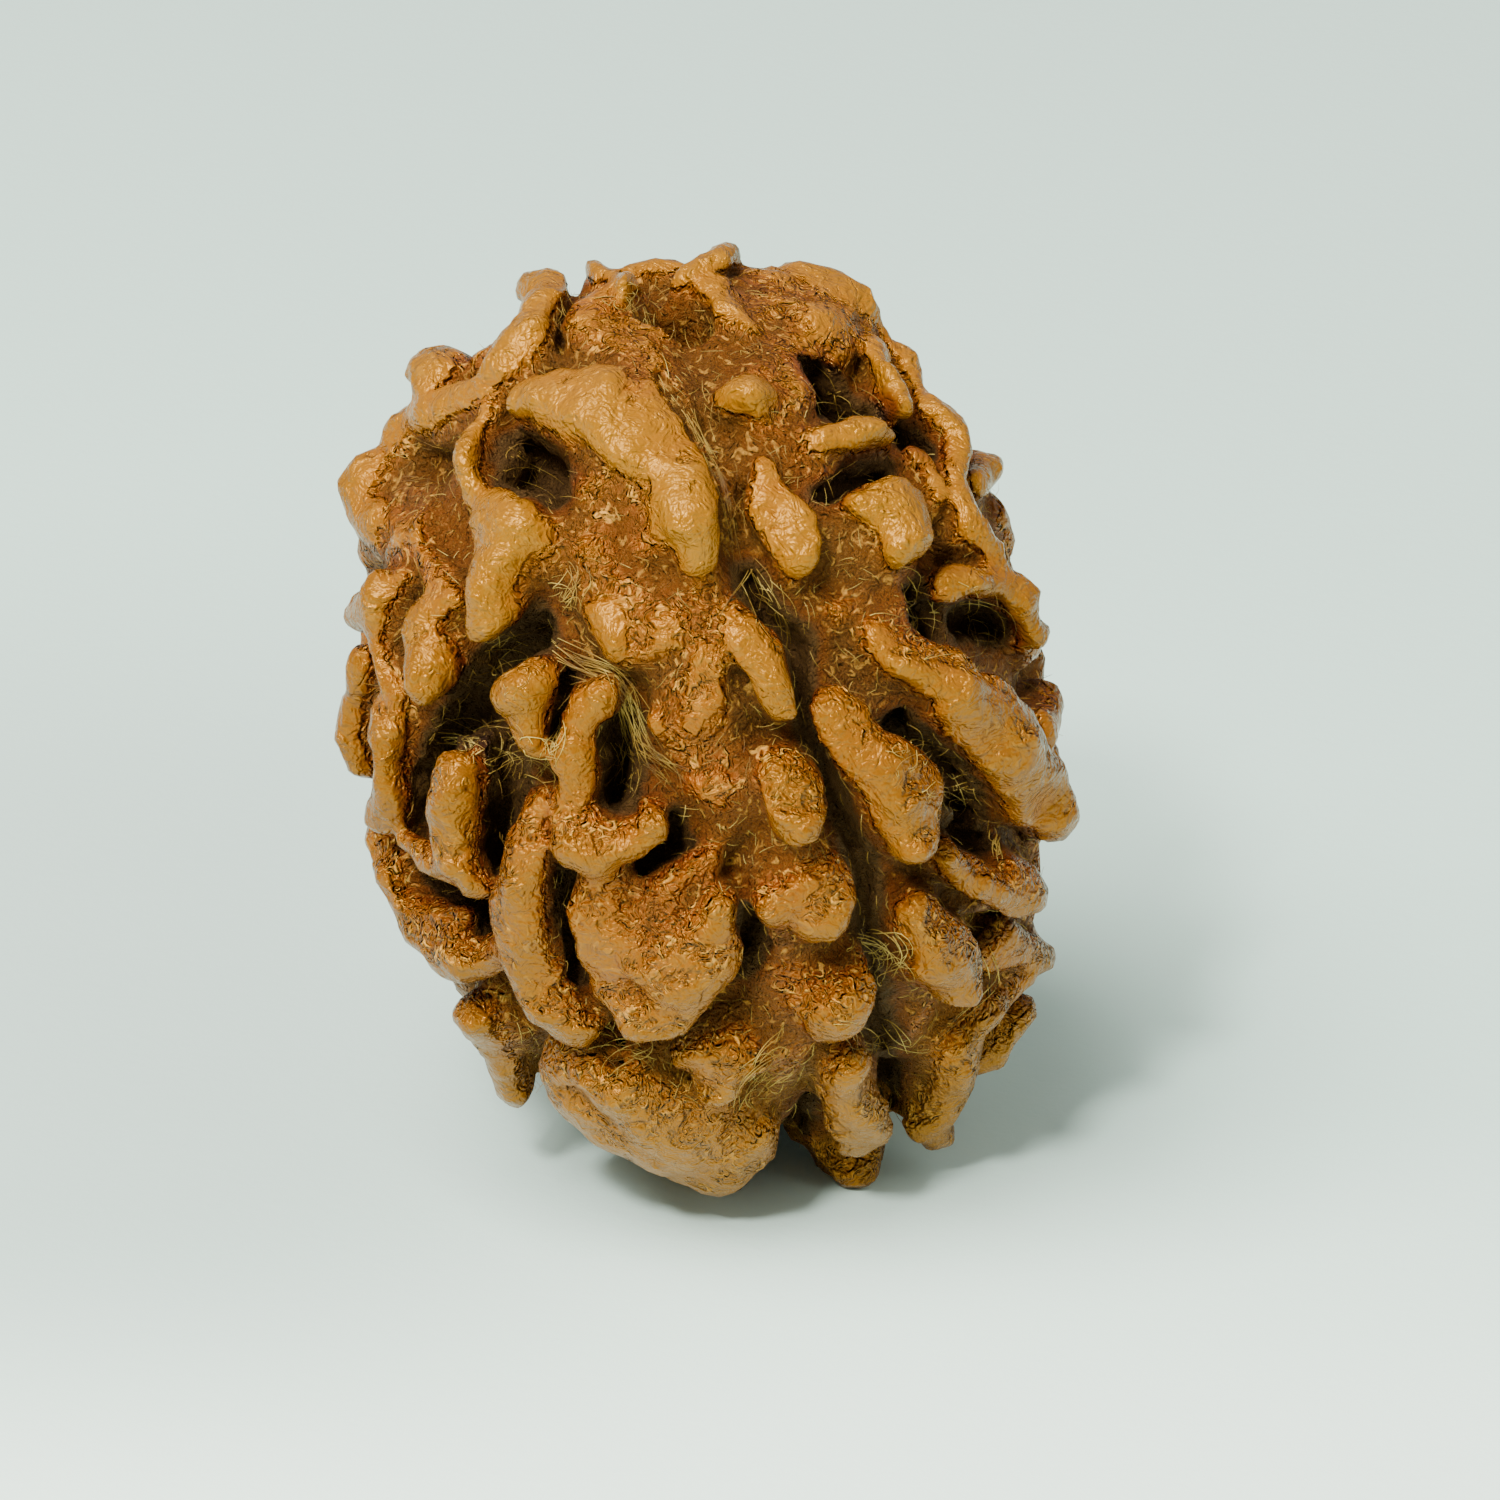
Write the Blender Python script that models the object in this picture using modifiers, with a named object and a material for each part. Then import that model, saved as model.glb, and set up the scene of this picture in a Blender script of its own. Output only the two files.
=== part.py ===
"""A rudraksha seed: the stone of an Elaeocarpus fruit, dried and cleaned, standing on the blunt
end of its long axis.

It grew as one piece, so it is one closed solid: an egg-shaped core, ridges and hanging knobs that
stand out of it, pits and seam lines that sink into it, and the natural bore from pole to pole.

The side that faces the viewer is described as it is seen. Each ridge and pit there is a named
chain of points (across, up, radius) in a front view, in millimetres, and every point is carried
back along the line of sight on to the seed. The hidden side follows a rule: faces between seam
lines, and in each face rows of drops that hang down the seed, with seeded random draws.

Lengths are in millimetres until the last step, which scales the seed to metres.
The seed stands on z = 0, +Z is up, and the viewer is on the -Y side.
"""

import math
import random

import bmesh
import bpy
from mathutils import Matrix, Vector

NAME = "rudraksha_seed"
METRES_PER_MM = 0.001

# The core, an egg that stands a little aslant
CORE_RADIUS = 9.0
CORE_HALF_LENGTH = 12.5
CENTRE = Vector((0.0, 0.0, 13.2))
LEAN_DEGREES = 8.5  # the top leans towards -X

# The bore, wide enough for a cord
BORE_RADIUS = 0.9
BORE_MOUTH_RADIUS = 1.1
BORE_MOUTH_RISE = 0.3
BORE_MOUTH_DEPTH = 1.6
BORE_OVERSHOOT = 3.0  # how far the drill runs past both mouths
BORE_MOUTH_IN_VIEW = (-2.2, 12.55)

# The front view: where the eye is, and where it sees the middle of the seed
VIEW_ELEVATION_DEGREES = 25.0
EYE_DISTANCE = 250.0
CENTRE_IN_VIEW = (-1.2, 0.9)

# The faces of the seed and its seam lines, as turns from the viewer's side towards +X
FACES = 5
FIRST_SEAM_DEGREES = 19.0

# How a ridge is rooted: a second, fatter chain at a share of the crest's rise
ROOT_RISE_SHARE = 0.3
ROOT_FATNESS = 1.12

# The rise at which a pit and a seam are seen where their points say
PIT_MOUTH_RISE = 0.7
SEAM_MOUTH_RISE = 0.6
PIT_LIP = 0.5  # how far above its mouth a pit is cut free
PIT_LIP_WIDTH = 0.95
PIT_FLOOR_WIDTH = 0.75

# The hidden side: rows of drops in every face
HIDDEN_SEED = 5
ROWS = 11
TOP_ROW_LATITUDE = 78.0
DROP_SPACING = 2.75
DROP_SIZES = (1.0, 0.75, 0.55)  # a drop that doesn't fit at full size is tried again smaller
DROP_LENGTH = (1.6, 3.9)
DROP_DRIFT = 1.3  # how far a drop's tip may stand to one side
DROP_BEND = 0.6
DROP_BASE_RADIUS = (0.42, 0.60)
DROP_TIP_RADIUS = (0.62, 0.92)
DROP_RISE = (0.75, 1.25)
LOWEST_DROP = -0.35  # a drop that would have to sink deeper than this is left out
DROP_CLEARANCE = 0.8  # a drop stays this share of both radii away from the ridges of the front view
SEEN_FACING = 0.3  # where the surface faces the eye more than this, only the front view's ridges stand
RIM_ALLOWANCE = 0.6  # the most that a hidden ridge may show past the core's outline in the front view
RIM_STEP = 0.1

# The hidden side's pits, in the gaps that the drops leave, and its seam lines
PIT_TRIES = 900
HIDDEN_PIT_REACH = (0.5, 1.3)
HIDDEN_PIT_RADIUS = (0.36, 0.55)
HIDDEN_PIT_SLANT_DEGREES = 25.0
HIDDEN_PIT_SPACING = 2.6
HIDDEN_PIT_FACING = -0.12
HIDDEN_PIT_LEVELS = ((0.25, 1.0), (-0.45, 1.0), (-1.15, 0.75))  # rise, share of the radius
HIDDEN_SEAM_RADIUS = 0.30
HIDDEN_SEAM_FACING = -0.05
HIDDEN_SEAM_SWAY_DEGREES = 3.0
POLE_FLATNESS = 0.25  # keeps turns near the poles from growing without end

# The finished surface
TUBE_BEVEL_RESOLUTION = 2
CHAIN_STEP = 0.7
VOXEL = 0.27
SMOOTH_PASSES = 3
TRIANGLES = 11400
SNAP = 0.03  # what is this near the floor is brought on to it
SLIVER = 0.004

# Ridges and knobs: name, rise of the first point, rise of the last, points (across, up, radius)
FRONT_RIDGES = (
    ("horn and shoulder ridge", 1.0, 0.9, (
        (-5.85, 13.05, 0.50), (-6.00, 12.20, 0.66), (-6.70, 11.20, 0.64), (-7.60, 10.40, 0.54),
        (-8.60, 9.85, 0.52), (-9.50, 9.45, 0.52), (-10.00, 9.15, 0.44))),
    ("branch under the horn", 0.7, 0.9, (
        (-7.50, 9.60, 0.34), (-7.80, 9.00, 0.38), (-8.05, 8.20, 0.44), (-7.80, 7.40, 0.56))),
    ("lobe behind the horn", 0.9, 0.9, ((-9.15, 11.00, 0.68), (-8.50, 10.50, 0.80))),
    ("left rim lobe", 0.9, 0.9, ((-10.60, 7.30, 0.95), (-10.50, 6.50, 0.95))),
    ("lobe above the left pit", 0.7, 1.1, (
        (-6.00, 10.05, 0.75), (-5.40, 10.05, 0.95), (-4.40, 9.50, 1.05), (-3.50, 8.60, 0.90))),
    ("low bump below the left pit", 0.3, 0.3, ((-3.90, 7.30, 0.50), (-3.60, 7.00, 0.45))),
    ("left knob", 0.9, 1.3, (
        (-7.10, 6.90, 0.80), (-6.95, 6.10, 1.08), (-7.25, 4.90, 0.84), (-7.70, 3.80, 0.60))),
    ("left knob's side", 0.7, 0.2, ((-6.70, 6.20, 0.80), (-5.90, 5.75, 0.65), (-5.40, 5.30, 0.45))),
    ("left small ridge", 0.3, 0.6, ((-9.30, 6.40, 0.36), (-8.90, 5.40, 0.42), (-8.50, 4.50, 0.44))),
    ("left rim knob", 1.0, 1.0, ((-10.95, 4.10, 0.75), (-10.40, 4.25, 0.80))),
    ("left rim ridge", 1.0, 1.0, ((-10.95, 2.40, 0.52), (-11.10, 1.30, 0.60), (-11.10, 0.00, 0.60))),
    ("left thin ridge", 0.8, 0.9, (
        (-9.75, 5.00, 0.34), (-10.20, 4.20, 0.36), (-10.50, 3.40, 0.36), (-10.35, 2.60, 0.36),
        (-10.15, 1.90, 0.36))),
    ("left finger", 0.9, 1.3, ((-8.95, 3.80, 0.46), (-9.27, 2.70, 0.58), (-9.32, 1.80, 0.62))),
    ("left upright ridge", 1.0, 1.0, (
        (-10.30, 1.10, 0.50), (-10.35, 0.20, 0.58), (-10.30, -0.80, 0.58), (-10.35, -1.80, 0.54))),
    ("lower left loop", 1.0, 1.0, (
        (-10.60, -2.40, 0.48), (-10.00, -3.65, 0.70), (-9.25, -4.95, 0.85), (-8.70, -5.55, 0.82),
        (-7.95, -5.75, 0.68), (-7.20, -5.85, 0.55), (-6.50, -5.60, 0.55))),
    ("ridge inside the loop", 1.0, 1.2, (
        (-8.32, -0.35, 0.60), (-8.42, -1.40, 0.78), (-8.50, -2.50, 0.84), (-8.05, -3.60, 0.58))),
    ("long left ridge", 1.0, 1.2, (
        (-6.05, -1.60, 0.45), (-6.45, -2.80, 0.74), (-6.52, -4.10, 0.92), (-6.45, -5.40, 0.80),
        (-5.95, -6.60, 0.76), (-5.20, -7.70, 0.92))),
    ("hanging knob", 1.0, 1.0, ((-7.60, -7.30, 0.70), (-7.20, -8.30, 0.74), (-6.65, -9.30, 0.68))),
    ("round knob", 1.1, 1.1, ((-6.35, 1.70, 0.70), (-6.35, 1.25, 0.78), (-6.25, 0.75, 0.68))),
    ("hooked ridge", 0.9, 1.0, (
        (-4.65, 1.55, 0.50), (-4.80, 0.60, 0.48), (-4.95, -0.60, 0.55), (-5.15, -1.80, 0.66),
        (-4.90, -2.40, 0.72), (-4.15, -2.70, 0.68), (-3.40, -2.60, 0.62), (-3.10, -2.15, 0.48))),
    ("curled lobe", 0.9, 1.1, (
        (-4.30, -3.20, 0.58), (-4.20, -4.80, 0.66), (-3.90, -6.20, 0.75), (-3.10, -7.00, 0.98),
        (-1.90, -6.70, 0.98), (-1.15, -5.60, 0.84), (-1.00, -4.60, 0.62))),
    ("band in the curl", 0.5, 0.6, ((-1.30, -3.20, 0.40), (-2.30, -4.05, 0.52), (-3.30, -4.90, 0.55))),
    ("centre lobe", 0.6, 1.3, (
        (-2.90, 9.30, 0.90), (-2.50, 8.40, 1.00), (-2.10, 7.30, 1.08), (-1.75, 6.50, 1.05),
        (-1.40, 5.85, 0.85))),
    ("centre lobe's side", 0.7, 0.8, ((-2.60, 6.70, 0.50), (-2.50, 5.90, 0.42))),
    ("knob under the bore", 0.7, 0.4, ((-0.20, 10.10, 0.70), (0.10, 9.50, 0.50))),
    ("ridge right of the seam", 0.5, 0.8, (
        (0.35, 7.35, 0.45), (0.80, 6.70, 0.55), (1.12, 6.00, 0.52), (1.30, 5.35, 0.38))),
    ("leaf-shaped lobe", 0.7, 1.2, (
        (-0.40, 3.50, 0.50), (0.20, 2.70, 0.68), (0.65, 1.90, 0.68), (0.90, 1.30, 0.56))),
    ("small knob", 0.8, 0.9, ((-4.15, 3.90, 0.55), (-3.98, 3.40, 0.58))),
    ("tiny knob", 0.4, 0.5, ((-2.62, 1.30, 0.26), (-2.60, 0.85, 0.30))),
    ("low bumps by the arch", -0.1, -0.1, ((2.30, 3.70, 0.50), (3.00, 4.40, 0.50))),
    ("egg-shaped knob", 0.8, 1.3, ((0.80, -0.75, 0.55), (1.20, -1.25, 0.86), (1.60, -1.90, 0.56))),
    ("double knob", 0.8, 1.1, ((1.50, -3.70, 0.62), (2.20, -4.50, 0.76))),
    ("double knob's twin", 0.8, 0.8, ((1.25, -4.00, 0.50), (0.72, -4.50, 0.46))),
    ("shelf under the double knob", 0.0, 0.0, ((1.50, -5.20, 0.40), (2.80, -5.50, 0.40))),
    ("round lower knob", 0.6, 1.0, (
        (1.75, -6.80, 0.66), (2.35, -7.18, 1.10), (2.90, -6.95, 0.82))),
    ("three-cornered knob's top", 0.8, 0.8, ((-1.62, -8.55, 0.58), (-0.22, -8.45, 0.60))),
    ("three-cornered knob", 0.8, 1.3, ((-0.85, -8.62, 0.92), (-0.78, -9.60, 0.64))),
    ("big bottom lobe", 0.9, 0.9, (
        (-5.25, -8.90, 0.78), (-4.75, -9.72, 0.96), (-3.30, -10.42, 1.12), (-1.90, -11.05, 1.25),
        (-0.75, -11.28, 1.25), (-0.15, -10.60, 0.92))),
    ("lower right knob", 0.9, 1.3, (
        (2.70, -8.90, 0.82), (3.00, -10.10, 0.84), (3.18, -10.98, 0.72))),
    ("knob under it", 0.6, 0.6, ((2.60, -11.40, 0.70), (3.00, -11.75, 0.82))),
    ("forked ridge", 1.0, 1.2, (
        (8.15, -5.95, 0.50), (7.20, -6.80, 0.62), (6.15, -8.20, 0.84), (5.45, -9.50, 0.98),
        (5.12, -10.72, 0.86))),
    ("lobe behind the fork", 0.7, 0.7, ((7.60, -7.40, 0.60), (6.90, -8.40, 0.70))),
    ("long right lobe", 0.9, 1.4, (
        (4.70, -4.60, 0.50), (5.30, -5.20, 0.78), (5.75, -6.00, 0.86), (5.90, -6.70, 0.68))),
    ("low bump under it", -0.3, -0.3, ((4.60, -7.00, 0.45), (4.80, -7.60, 0.45))),
    ("right finger", 0.9, 1.2, (
        (5.60, -3.10, 0.40), (6.40, -3.80, 0.50), (7.30, -4.25, 0.52), (7.85, -4.40, 0.50))),
    ("knob behind the finger", 0.8, 0.8, ((7.80, -3.90, 0.75), (7.20, -3.60, 0.65))),
    ("ridge beside the groove", 0.7, 1.3, (
        (2.15, 0.90, 0.34), (2.85, 0.00, 0.48), (3.50, -0.85, 0.64), (4.15, -1.65, 0.86),
        (4.60, -2.30, 0.80))),
    ("wing", 0.8, 1.4, (
        (3.80, 2.90, 0.46), (4.80, 2.30, 0.72), (6.00, 1.55, 0.90), (7.10, 0.65, 0.98),
        (7.85, -0.40, 0.90), (8.50, -1.60, 0.68), (8.80, -2.15, 0.48))),
    ("lobe behind the wing", 0.7, 0.7, ((8.50, 1.10, 0.58), (8.20, 0.50, 0.60))),
    ("arch", 0.8, 1.1, (
        (5.60, 4.40, 0.38), (6.30, 4.80, 0.42), (7.00, 4.70, 0.46), (7.60, 4.20, 0.56),
        (8.00, 3.65, 0.50))),
    ("right knob", 0.9, 1.3, (
        (3.35, 6.70, 0.60), (4.20, 6.65, 0.88), (4.50, 6.10, 0.80), (4.35, 5.65, 0.50))),
    ("bar under the right pit", 0.7, 0.8, ((2.10, 9.05, 0.34), (3.00, 9.02, 0.42), (3.85, 8.98, 0.36))),
    ("rim of the right pit", 0.7, 0.9, (
        (1.70, 12.60, 0.70), (2.85, 12.20, 0.55), (3.55, 11.35, 0.42), (4.00, 10.50, 0.38),
        (4.25, 9.90, 0.30))),
    ("dome beside the bore", 0.6, 0.6, (
        (-0.10, 13.40, 0.50), (0.90, 12.90, 0.90), (2.20, 12.60, 1.00))),
    ("outer right ridge", 0.8, 0.9, (
        (3.12, 12.42, 0.52), (3.75, 11.68, 0.46), (4.24, 11.03, 0.46), (4.80, 10.35, 0.44),
        (5.28, 9.45, 0.44), (5.76, 8.55, 0.44), (6.02, 7.40, 0.44), (6.16, 6.50, 0.44),
        (6.75, 5.60, 0.42))),
    ("small right ridge", 0.4, 0.6, ((4.70, 8.20, 0.28), (5.10, 7.90, 0.30), (5.35, 7.30, 0.30))),
    ("rim knob behind it", 0.8, 0.8, ((6.60, 8.00, 0.60), (6.45, 7.60, 0.50))),
    ("back rim of the bore", 0.8, 0.8, ((-4.42, 13.90, 0.34), (-3.95, 13.35, 0.40), (-3.35, 12.85, 0.34))),
    ("wrinkled lobe", 0.5, 0.5, ((-4.60, 12.70, 0.45), (-4.20, 12.20, 0.50))),
    ("top knob", 0.9, 0.7, ((-0.70, 14.22, 0.44), (-1.35, 13.55, 0.54), (-1.90, 13.20, 0.48))),
    ("knob beside the bore", 0.6, 0.5, ((-0.95, 13.00, 0.50), (-0.60, 12.50, 0.50))),
    ("lobe behind the bore", 0.5, 0.5, ((-3.30, 13.50, 0.52), (-2.20, 13.50, 0.52))),
)

# Swells: broad low mounds that carry the ridges. Name, rise of the middle, points (across, up, radius)
FRONT_SWELLS = (
    ("upper left swell", -0.3, (
        (-9.20, 8.40, 1.40), (-9.20, 7.20, 1.50), (-9.00, 5.80, 1.40), (-9.20, 4.90, 1.00))),
    ("shoulder swell", -0.9, (
        (-6.20, 10.30, 1.30), (-4.20, 11.00, 1.90), (-2.90, 9.40, 1.80), (-2.50, 7.40, 1.60))),
    ("swell below the left pit", -0.2, (
        (-3.20, 8.20, 1.20), (-3.90, 7.20, 1.25), (-4.00, 6.20, 1.25), (-5.00, 5.80, 1.15))),
    ("top swell", -0.6, ((-3.90, 12.50, 1.10), (-3.50, 11.70, 1.30))),
    ("dome swell", -0.8, (
        (-0.30, 11.40, 1.60), (1.60, 12.10, 1.70), (0.40, 9.60, 1.50), (0.00, 8.70, 1.30))),
    ("swell right of the seam", -0.8, ((0.90, 8.60, 1.30), (1.60, 6.90, 1.40), (2.60, 5.40, 1.40))),
    ("centre swell", -0.6, (
        (-5.20, 5.40, 1.30), (-3.60, 4.60, 1.60), (-2.20, 3.20, 1.75), (-1.50, 1.60, 1.60),
        (-1.10, 0.00, 1.45), (-0.80, -1.60, 1.30))),
    ("swell in the curl", 0.6, ((-3.60, -4.30, 0.90), (-2.90, -5.70, 1.35), (-2.00, -5.30, 1.25))),
    ("lower middle swell", -0.35, (
        (0.60, -2.60, 1.20), (1.20, -4.60, 1.20), (1.00, -6.40, 1.35), (0.50, -8.00, 1.35),
        (0.60, -9.40, 1.05))),
    ("right swell", -0.5, ((3.60, 4.60, 1.20), (3.30, 3.00, 1.20), (3.20, 1.60, 1.00))),
    ("outer right swell", -0.7, ((4.80, 9.60, 0.80), (5.50, 7.80, 0.80), (5.90, 6.40, 0.80))),
    ("bottom swell", 0.6, (
        (-4.90, -8.70, 1.00), (-3.20, -9.00, 1.35), (-2.20, -9.90, 1.40), (-1.20, -10.00, 1.40))),
    ("lower right swell", -0.5, ((6.30, -7.60, 1.10), (5.40, -9.00, 1.10), (4.70, -9.80, 1.00))),
    ("swell beside the lower groove", -0.5, (
        (4.70, -3.60, 0.90), (4.40, -5.20, 0.90), (4.60, -7.00, 1.05), (5.00, -8.20, 1.05))),
)

# Pits: name, depth of the floor below the core, points (across, up, radius)
FRONT_PITS = (
    ("left pit", 1.7, ((-6.85, 8.90, 0.36), (-6.50, 8.15, 0.66), (-5.60, 7.45, 0.52))),
    ("right pit", 2.2, (
        (2.00, 10.95, 0.50), (2.32, 10.52, 0.80), (2.95, 10.12, 0.70), (3.62, 9.80, 0.36))),
    ("right slot", 1.0, ((2.15, 7.25, 0.28), (3.05, 7.68, 0.36), (4.10, 8.12, 0.28))),
    ("slot beside it", 0.8, ((4.55, 9.60, 0.26), (4.85, 9.00, 0.28), (5.25, 8.45, 0.24))),
    ("pit under the arch", 0.7, ((6.30, 3.75, 0.42), (7.20, 3.60, 0.40))),
    ("pit left of the arch", 1.0, ((4.75, 4.70, 0.36), (4.95, 4.00, 0.42), (5.50, 3.50, 0.40))),
    ("pit under the wing", 1.3, (
        (4.45, 0.90, 0.34), (5.10, 0.25, 0.44), (5.75, -0.60, 0.46), (6.35, -1.40, 0.42),
        (6.90, -1.95, 0.30))),
    ("pit above the finger", 0.7, ((6.20, -2.50, 0.36), (6.90, -2.85, 0.34))),
    ("great left pit", 1.6, (
        (-6.20, 3.35, 0.55), (-7.40, 2.40, 0.75), (-8.00, 1.20, 0.66), (-9.05, 0.40, 0.48),
        (-9.45, -0.90, 0.30), (-9.60, -2.00, 0.24))),
    ("great left pit's tail", 1.2, (
        (-7.50, 1.00, 0.56), (-7.25, 0.00, 0.48), (-7.00, -0.90, 0.40), (-7.30, -2.20, 0.24),
        (-7.60, -3.40, 0.18))),
    ("crescent in the loop", 0.8, (
        (-9.35, -3.40, 0.20), (-8.95, -4.15, 0.27), (-8.10, -4.65, 0.27), (-7.25, -5.30, 0.20))),
    ("slot beside the long ridge", 0.9, (
        (-5.30, -3.40, 0.22), (-5.22, -4.90, 0.28), (-5.05, -6.20, 0.26))),
    ("gap beside the round knob", 0.3, ((-5.50, 1.90, 0.14), (-5.42, 1.00, 0.14), (-5.65, 0.10, 0.14))),
    ("pit in the hook", 1.2, ((-3.80, 0.60, 0.40), (-3.75, -0.60, 0.46), (-3.95, -1.50, 0.34))),
    ("crescent under the hook", 0.7, (
        (-2.40, -1.90, 0.24), (-2.30, -2.80, 0.27), (-2.80, -3.55, 0.20), (-3.30, -4.05, 0.14))),
    ("slot beside the curl", 0.9, ((0.05, -4.60, 0.28), (0.05, -5.40, 0.32), (-0.40, -6.30, 0.24))),
    ("gap under the curl", 0.3, ((-3.75, -8.55, 0.16), (-3.10, -8.70, 0.18))),
    ("gap by the lower right knob", 0.6, ((4.05, -9.00, 0.24), (4.10, -10.20, 0.26))),
    ("gap beside the bottom lobe", 0.8, ((1.45, -10.40, 0.30), (1.50, -11.20, 0.34))),
)

# Seam lines: name, depth below the core, points (across, up, radius)
FRONT_SEAMS = (
    ("fine upper seam", -0.5, (
        (-2.50, 10.50, 0.18), (-2.00, 9.80, 0.20), (-1.60, 9.10, 0.20), (-1.20, 8.30, 0.20),
        (-0.85, 7.50, 0.20), (-0.65, 6.50, 0.22), (-0.40, 5.40, 0.26))),
    ("central groove", 0.8, (
        (0.00, 4.90, 0.26), (0.60, 4.00, 0.32), (1.20, 3.10, 0.33), (1.55, 2.00, 0.30),
        (1.70, 1.10, 0.27), (2.15, -0.20, 0.27), (2.65, -1.50, 0.28), (3.00, -2.70, 0.28))),
    ("lower groove", 0.4, (
        (3.00, -2.70, 0.26), (3.40, -4.30, 0.28), (3.45, -5.60, 0.27), (3.80, -7.00, 0.26),
        (4.00, -8.50, 0.26))),
    ("seam beside the horn", -0.3, ((-5.15, 13.10, 0.20), (-5.15, 12.30, 0.20), (-5.30, 11.50, 0.18))),
)

# Feet on the underside, round the weight: place (x, y) from under the seed's middle, and radius
FEET = ((0.25, -3.30, 1.05), (4.2, -2.4, 0.95), (3.4, 3.6, 1.10), (-3.6, 2.6, 0.90))
FOOT_SINK = 0.42  # how far a foot reaches below the floor before it is cut flat
FOOT_LENGTH = 2.4
FOOT_FLARE = 1.7
FOOT_LEAN = 0.3  # a foot's top stands nearer the axis than its tip by this share
FLOOR_CLEARANCE = 0.4  # what is no foot stays this far above the floor

elevation = math.radians(VIEW_ELEVATION_DEGREES)
VIEW_RIGHT = Vector((1.0, 0.0, 0.0))
VIEW_UP = Vector((0.0, math.sin(elevation), math.cos(elevation)))
VIEW_FORWARD = Vector((0.0, math.cos(elevation), -math.sin(elevation)))
LEAN = Matrix.Rotation(math.radians(-LEAN_DEGREES), 3, "Y")


def in_view(across, up):
    """The point of the front view's plane, which runs through the middle of the seed."""
    return CENTRE + VIEW_RIGHT * (across - CENTRE_IN_VIEW[0]) + VIEW_UP * (up - CENTRE_IN_VIEW[1])


EYE = in_view(0.0, 0.0) - VIEW_FORWARD * EYE_DISTANCE


def egg_axes(rise):
    """Half the egg's width, depth and length at a rise above the core."""
    return Vector((CORE_RADIUS + rise, CORE_RADIUS + rise, CORE_HALF_LENGTH + rise))


def to_egg(point, rise):
    """A point in the frame where the egg at this rise is the unit sphere."""
    local = LEAN.transposed() @ (point - CENTRE)
    axes = egg_axes(rise)
    return Vector((local.x / axes.x, local.y / axes.y, local.z / axes.z))


def from_egg(unit, rise):
    axes = egg_axes(rise)
    return CENTRE + LEAN @ Vector((unit.x * axes.x, unit.y * axes.y, unit.z * axes.z))


def on_sight(across, up, rise):
    """Where the line of sight through a front-view point meets the egg at a rise, or passes it closest."""
    start = to_egg(EYE, rise)
    along = (to_egg(in_view(across, up), rise) - start).normalized()
    middle = -start.dot(along)
    spare = 1.0 - (start + along * middle).length_squared
    return from_egg(start + along * (middle - math.sqrt(max(spare, 0.0))), rise)


def by_turn(turn_degrees, latitude_degrees, rise):
    """A point by its turn from the viewer's side towards +X and its latitude on the egg."""
    turn = math.radians(turn_degrees)
    latitude = math.radians(latitude_degrees)
    flat = math.cos(latitude)
    return from_egg(Vector((flat * math.sin(turn), -flat * math.cos(turn), math.sin(latitude))), rise)


def root_of(point):
    """The point nearer the core that a crest point grows from."""
    core_point = from_egg(to_egg(point, 0.0).normalized(), 0.0)
    return core_point.lerp(point, ROOT_RISE_SHARE)


def smooth_chain(chain, step=CHAIN_STEP):
    """A chain of (point, radius), resampled from a smooth curve through its points."""
    if len(chain) == 2:
        (start, first), (end, last) = chain
        count = max(1, round((end - start).length / step))
        return [(start.lerp(end, i / count), first + (last - first) * i / count) for i in range(count + 1)]
    smooth = []
    for i in range(len(chain) - 1):
        before, start = chain[max(i - 1, 0)], chain[i]
        end, after = chain[i + 1], chain[min(i + 2, len(chain) - 1)]
        count = max(1, round((end[0] - start[0]).length / step))
        for j in range(count):
            t = j / count
            weights = (
                0.5 * (-t + 2 * t**2 - t**3), 0.5 * (2 - 5 * t**2 + 3 * t**3),
                0.5 * (t + 4 * t**2 - 3 * t**3), 0.5 * (t**3 - t**2))
            near = (before, start, end, after)
            point = sum((w * k[0] for w, k in zip(weights, near)), Vector())
            smooth.append((point, sum(w * k[1] for w, k in zip(weights, near))))
    return smooth + [chain[-1]]


def front_crests():
    """The crest of every ridge of the front view."""
    crests = []
    for _name, first_rise, last_rise, points in FRONT_RIDGES:
        last = len(points) - 1
        crests.append([
            (on_sight(across, up, first_rise + (last_rise - first_rise) * i / last), radius)
            for i, (across, up, radius) in enumerate(points)])
    return crests


def front_swells():
    """The broad mounds of the front view."""
    return [
        [(on_sight(across, up, rise), radius) for across, up, radius in points]
        for _name, rise, points in FRONT_SWELLS]


def with_roots(crests):
    """Each crest, and under it the fatter chain that it grows from."""
    roots = [[(root_of(point), radius * ROOT_FATNESS) for point, radius in crest] for crest in crests]
    return crests + roots


def front_pit_chains(pits, mouth_rise):
    """Every pit or seam as chains one below the other, from above its mouth down to its floor."""
    chains = []
    for _name, depth, points in pits:
        whole = mouth_rise + depth
        mouth = [(on_sight(across, up, mouth_rise), radius) for across, up, radius in points]
        thinnest = min(radius for _point, radius in mouth)
        levels = 1 + math.ceil(whole / thinnest)
        depths = [(-PIT_LIP, PIT_LIP_WIDTH)]
        for i in range(levels):
            share = i / (levels - 1)
            depths.append((whole * share, 1.0 + (PIT_FLOOR_WIDTH - 1.0) * share**2))
        for deep, width in depths:
            chains.append([(point + into_pit(point) * deep, radius * width) for point, radius in mouth])
    return chains


def outward(point):
    """The direction away from the core at a point."""
    unit = to_egg(point, 0.0)
    axes = egg_axes(0.0)
    return (LEAN @ Vector((unit.x / axes.x, unit.y / axes.y, unit.z / axes.z))).normalized()


def into_pit(point):
    """Half way between straight in and along the line of sight, so that the eye sees down a pit."""
    return ((point - EYE).normalized() - outward(point)).normalized()


def facing(point):
    """How far the surface turns towards the eye: 1 straight at it, 0 on the rim, under 0 hidden."""
    return outward(point).dot((EYE - point).normalized())


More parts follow.
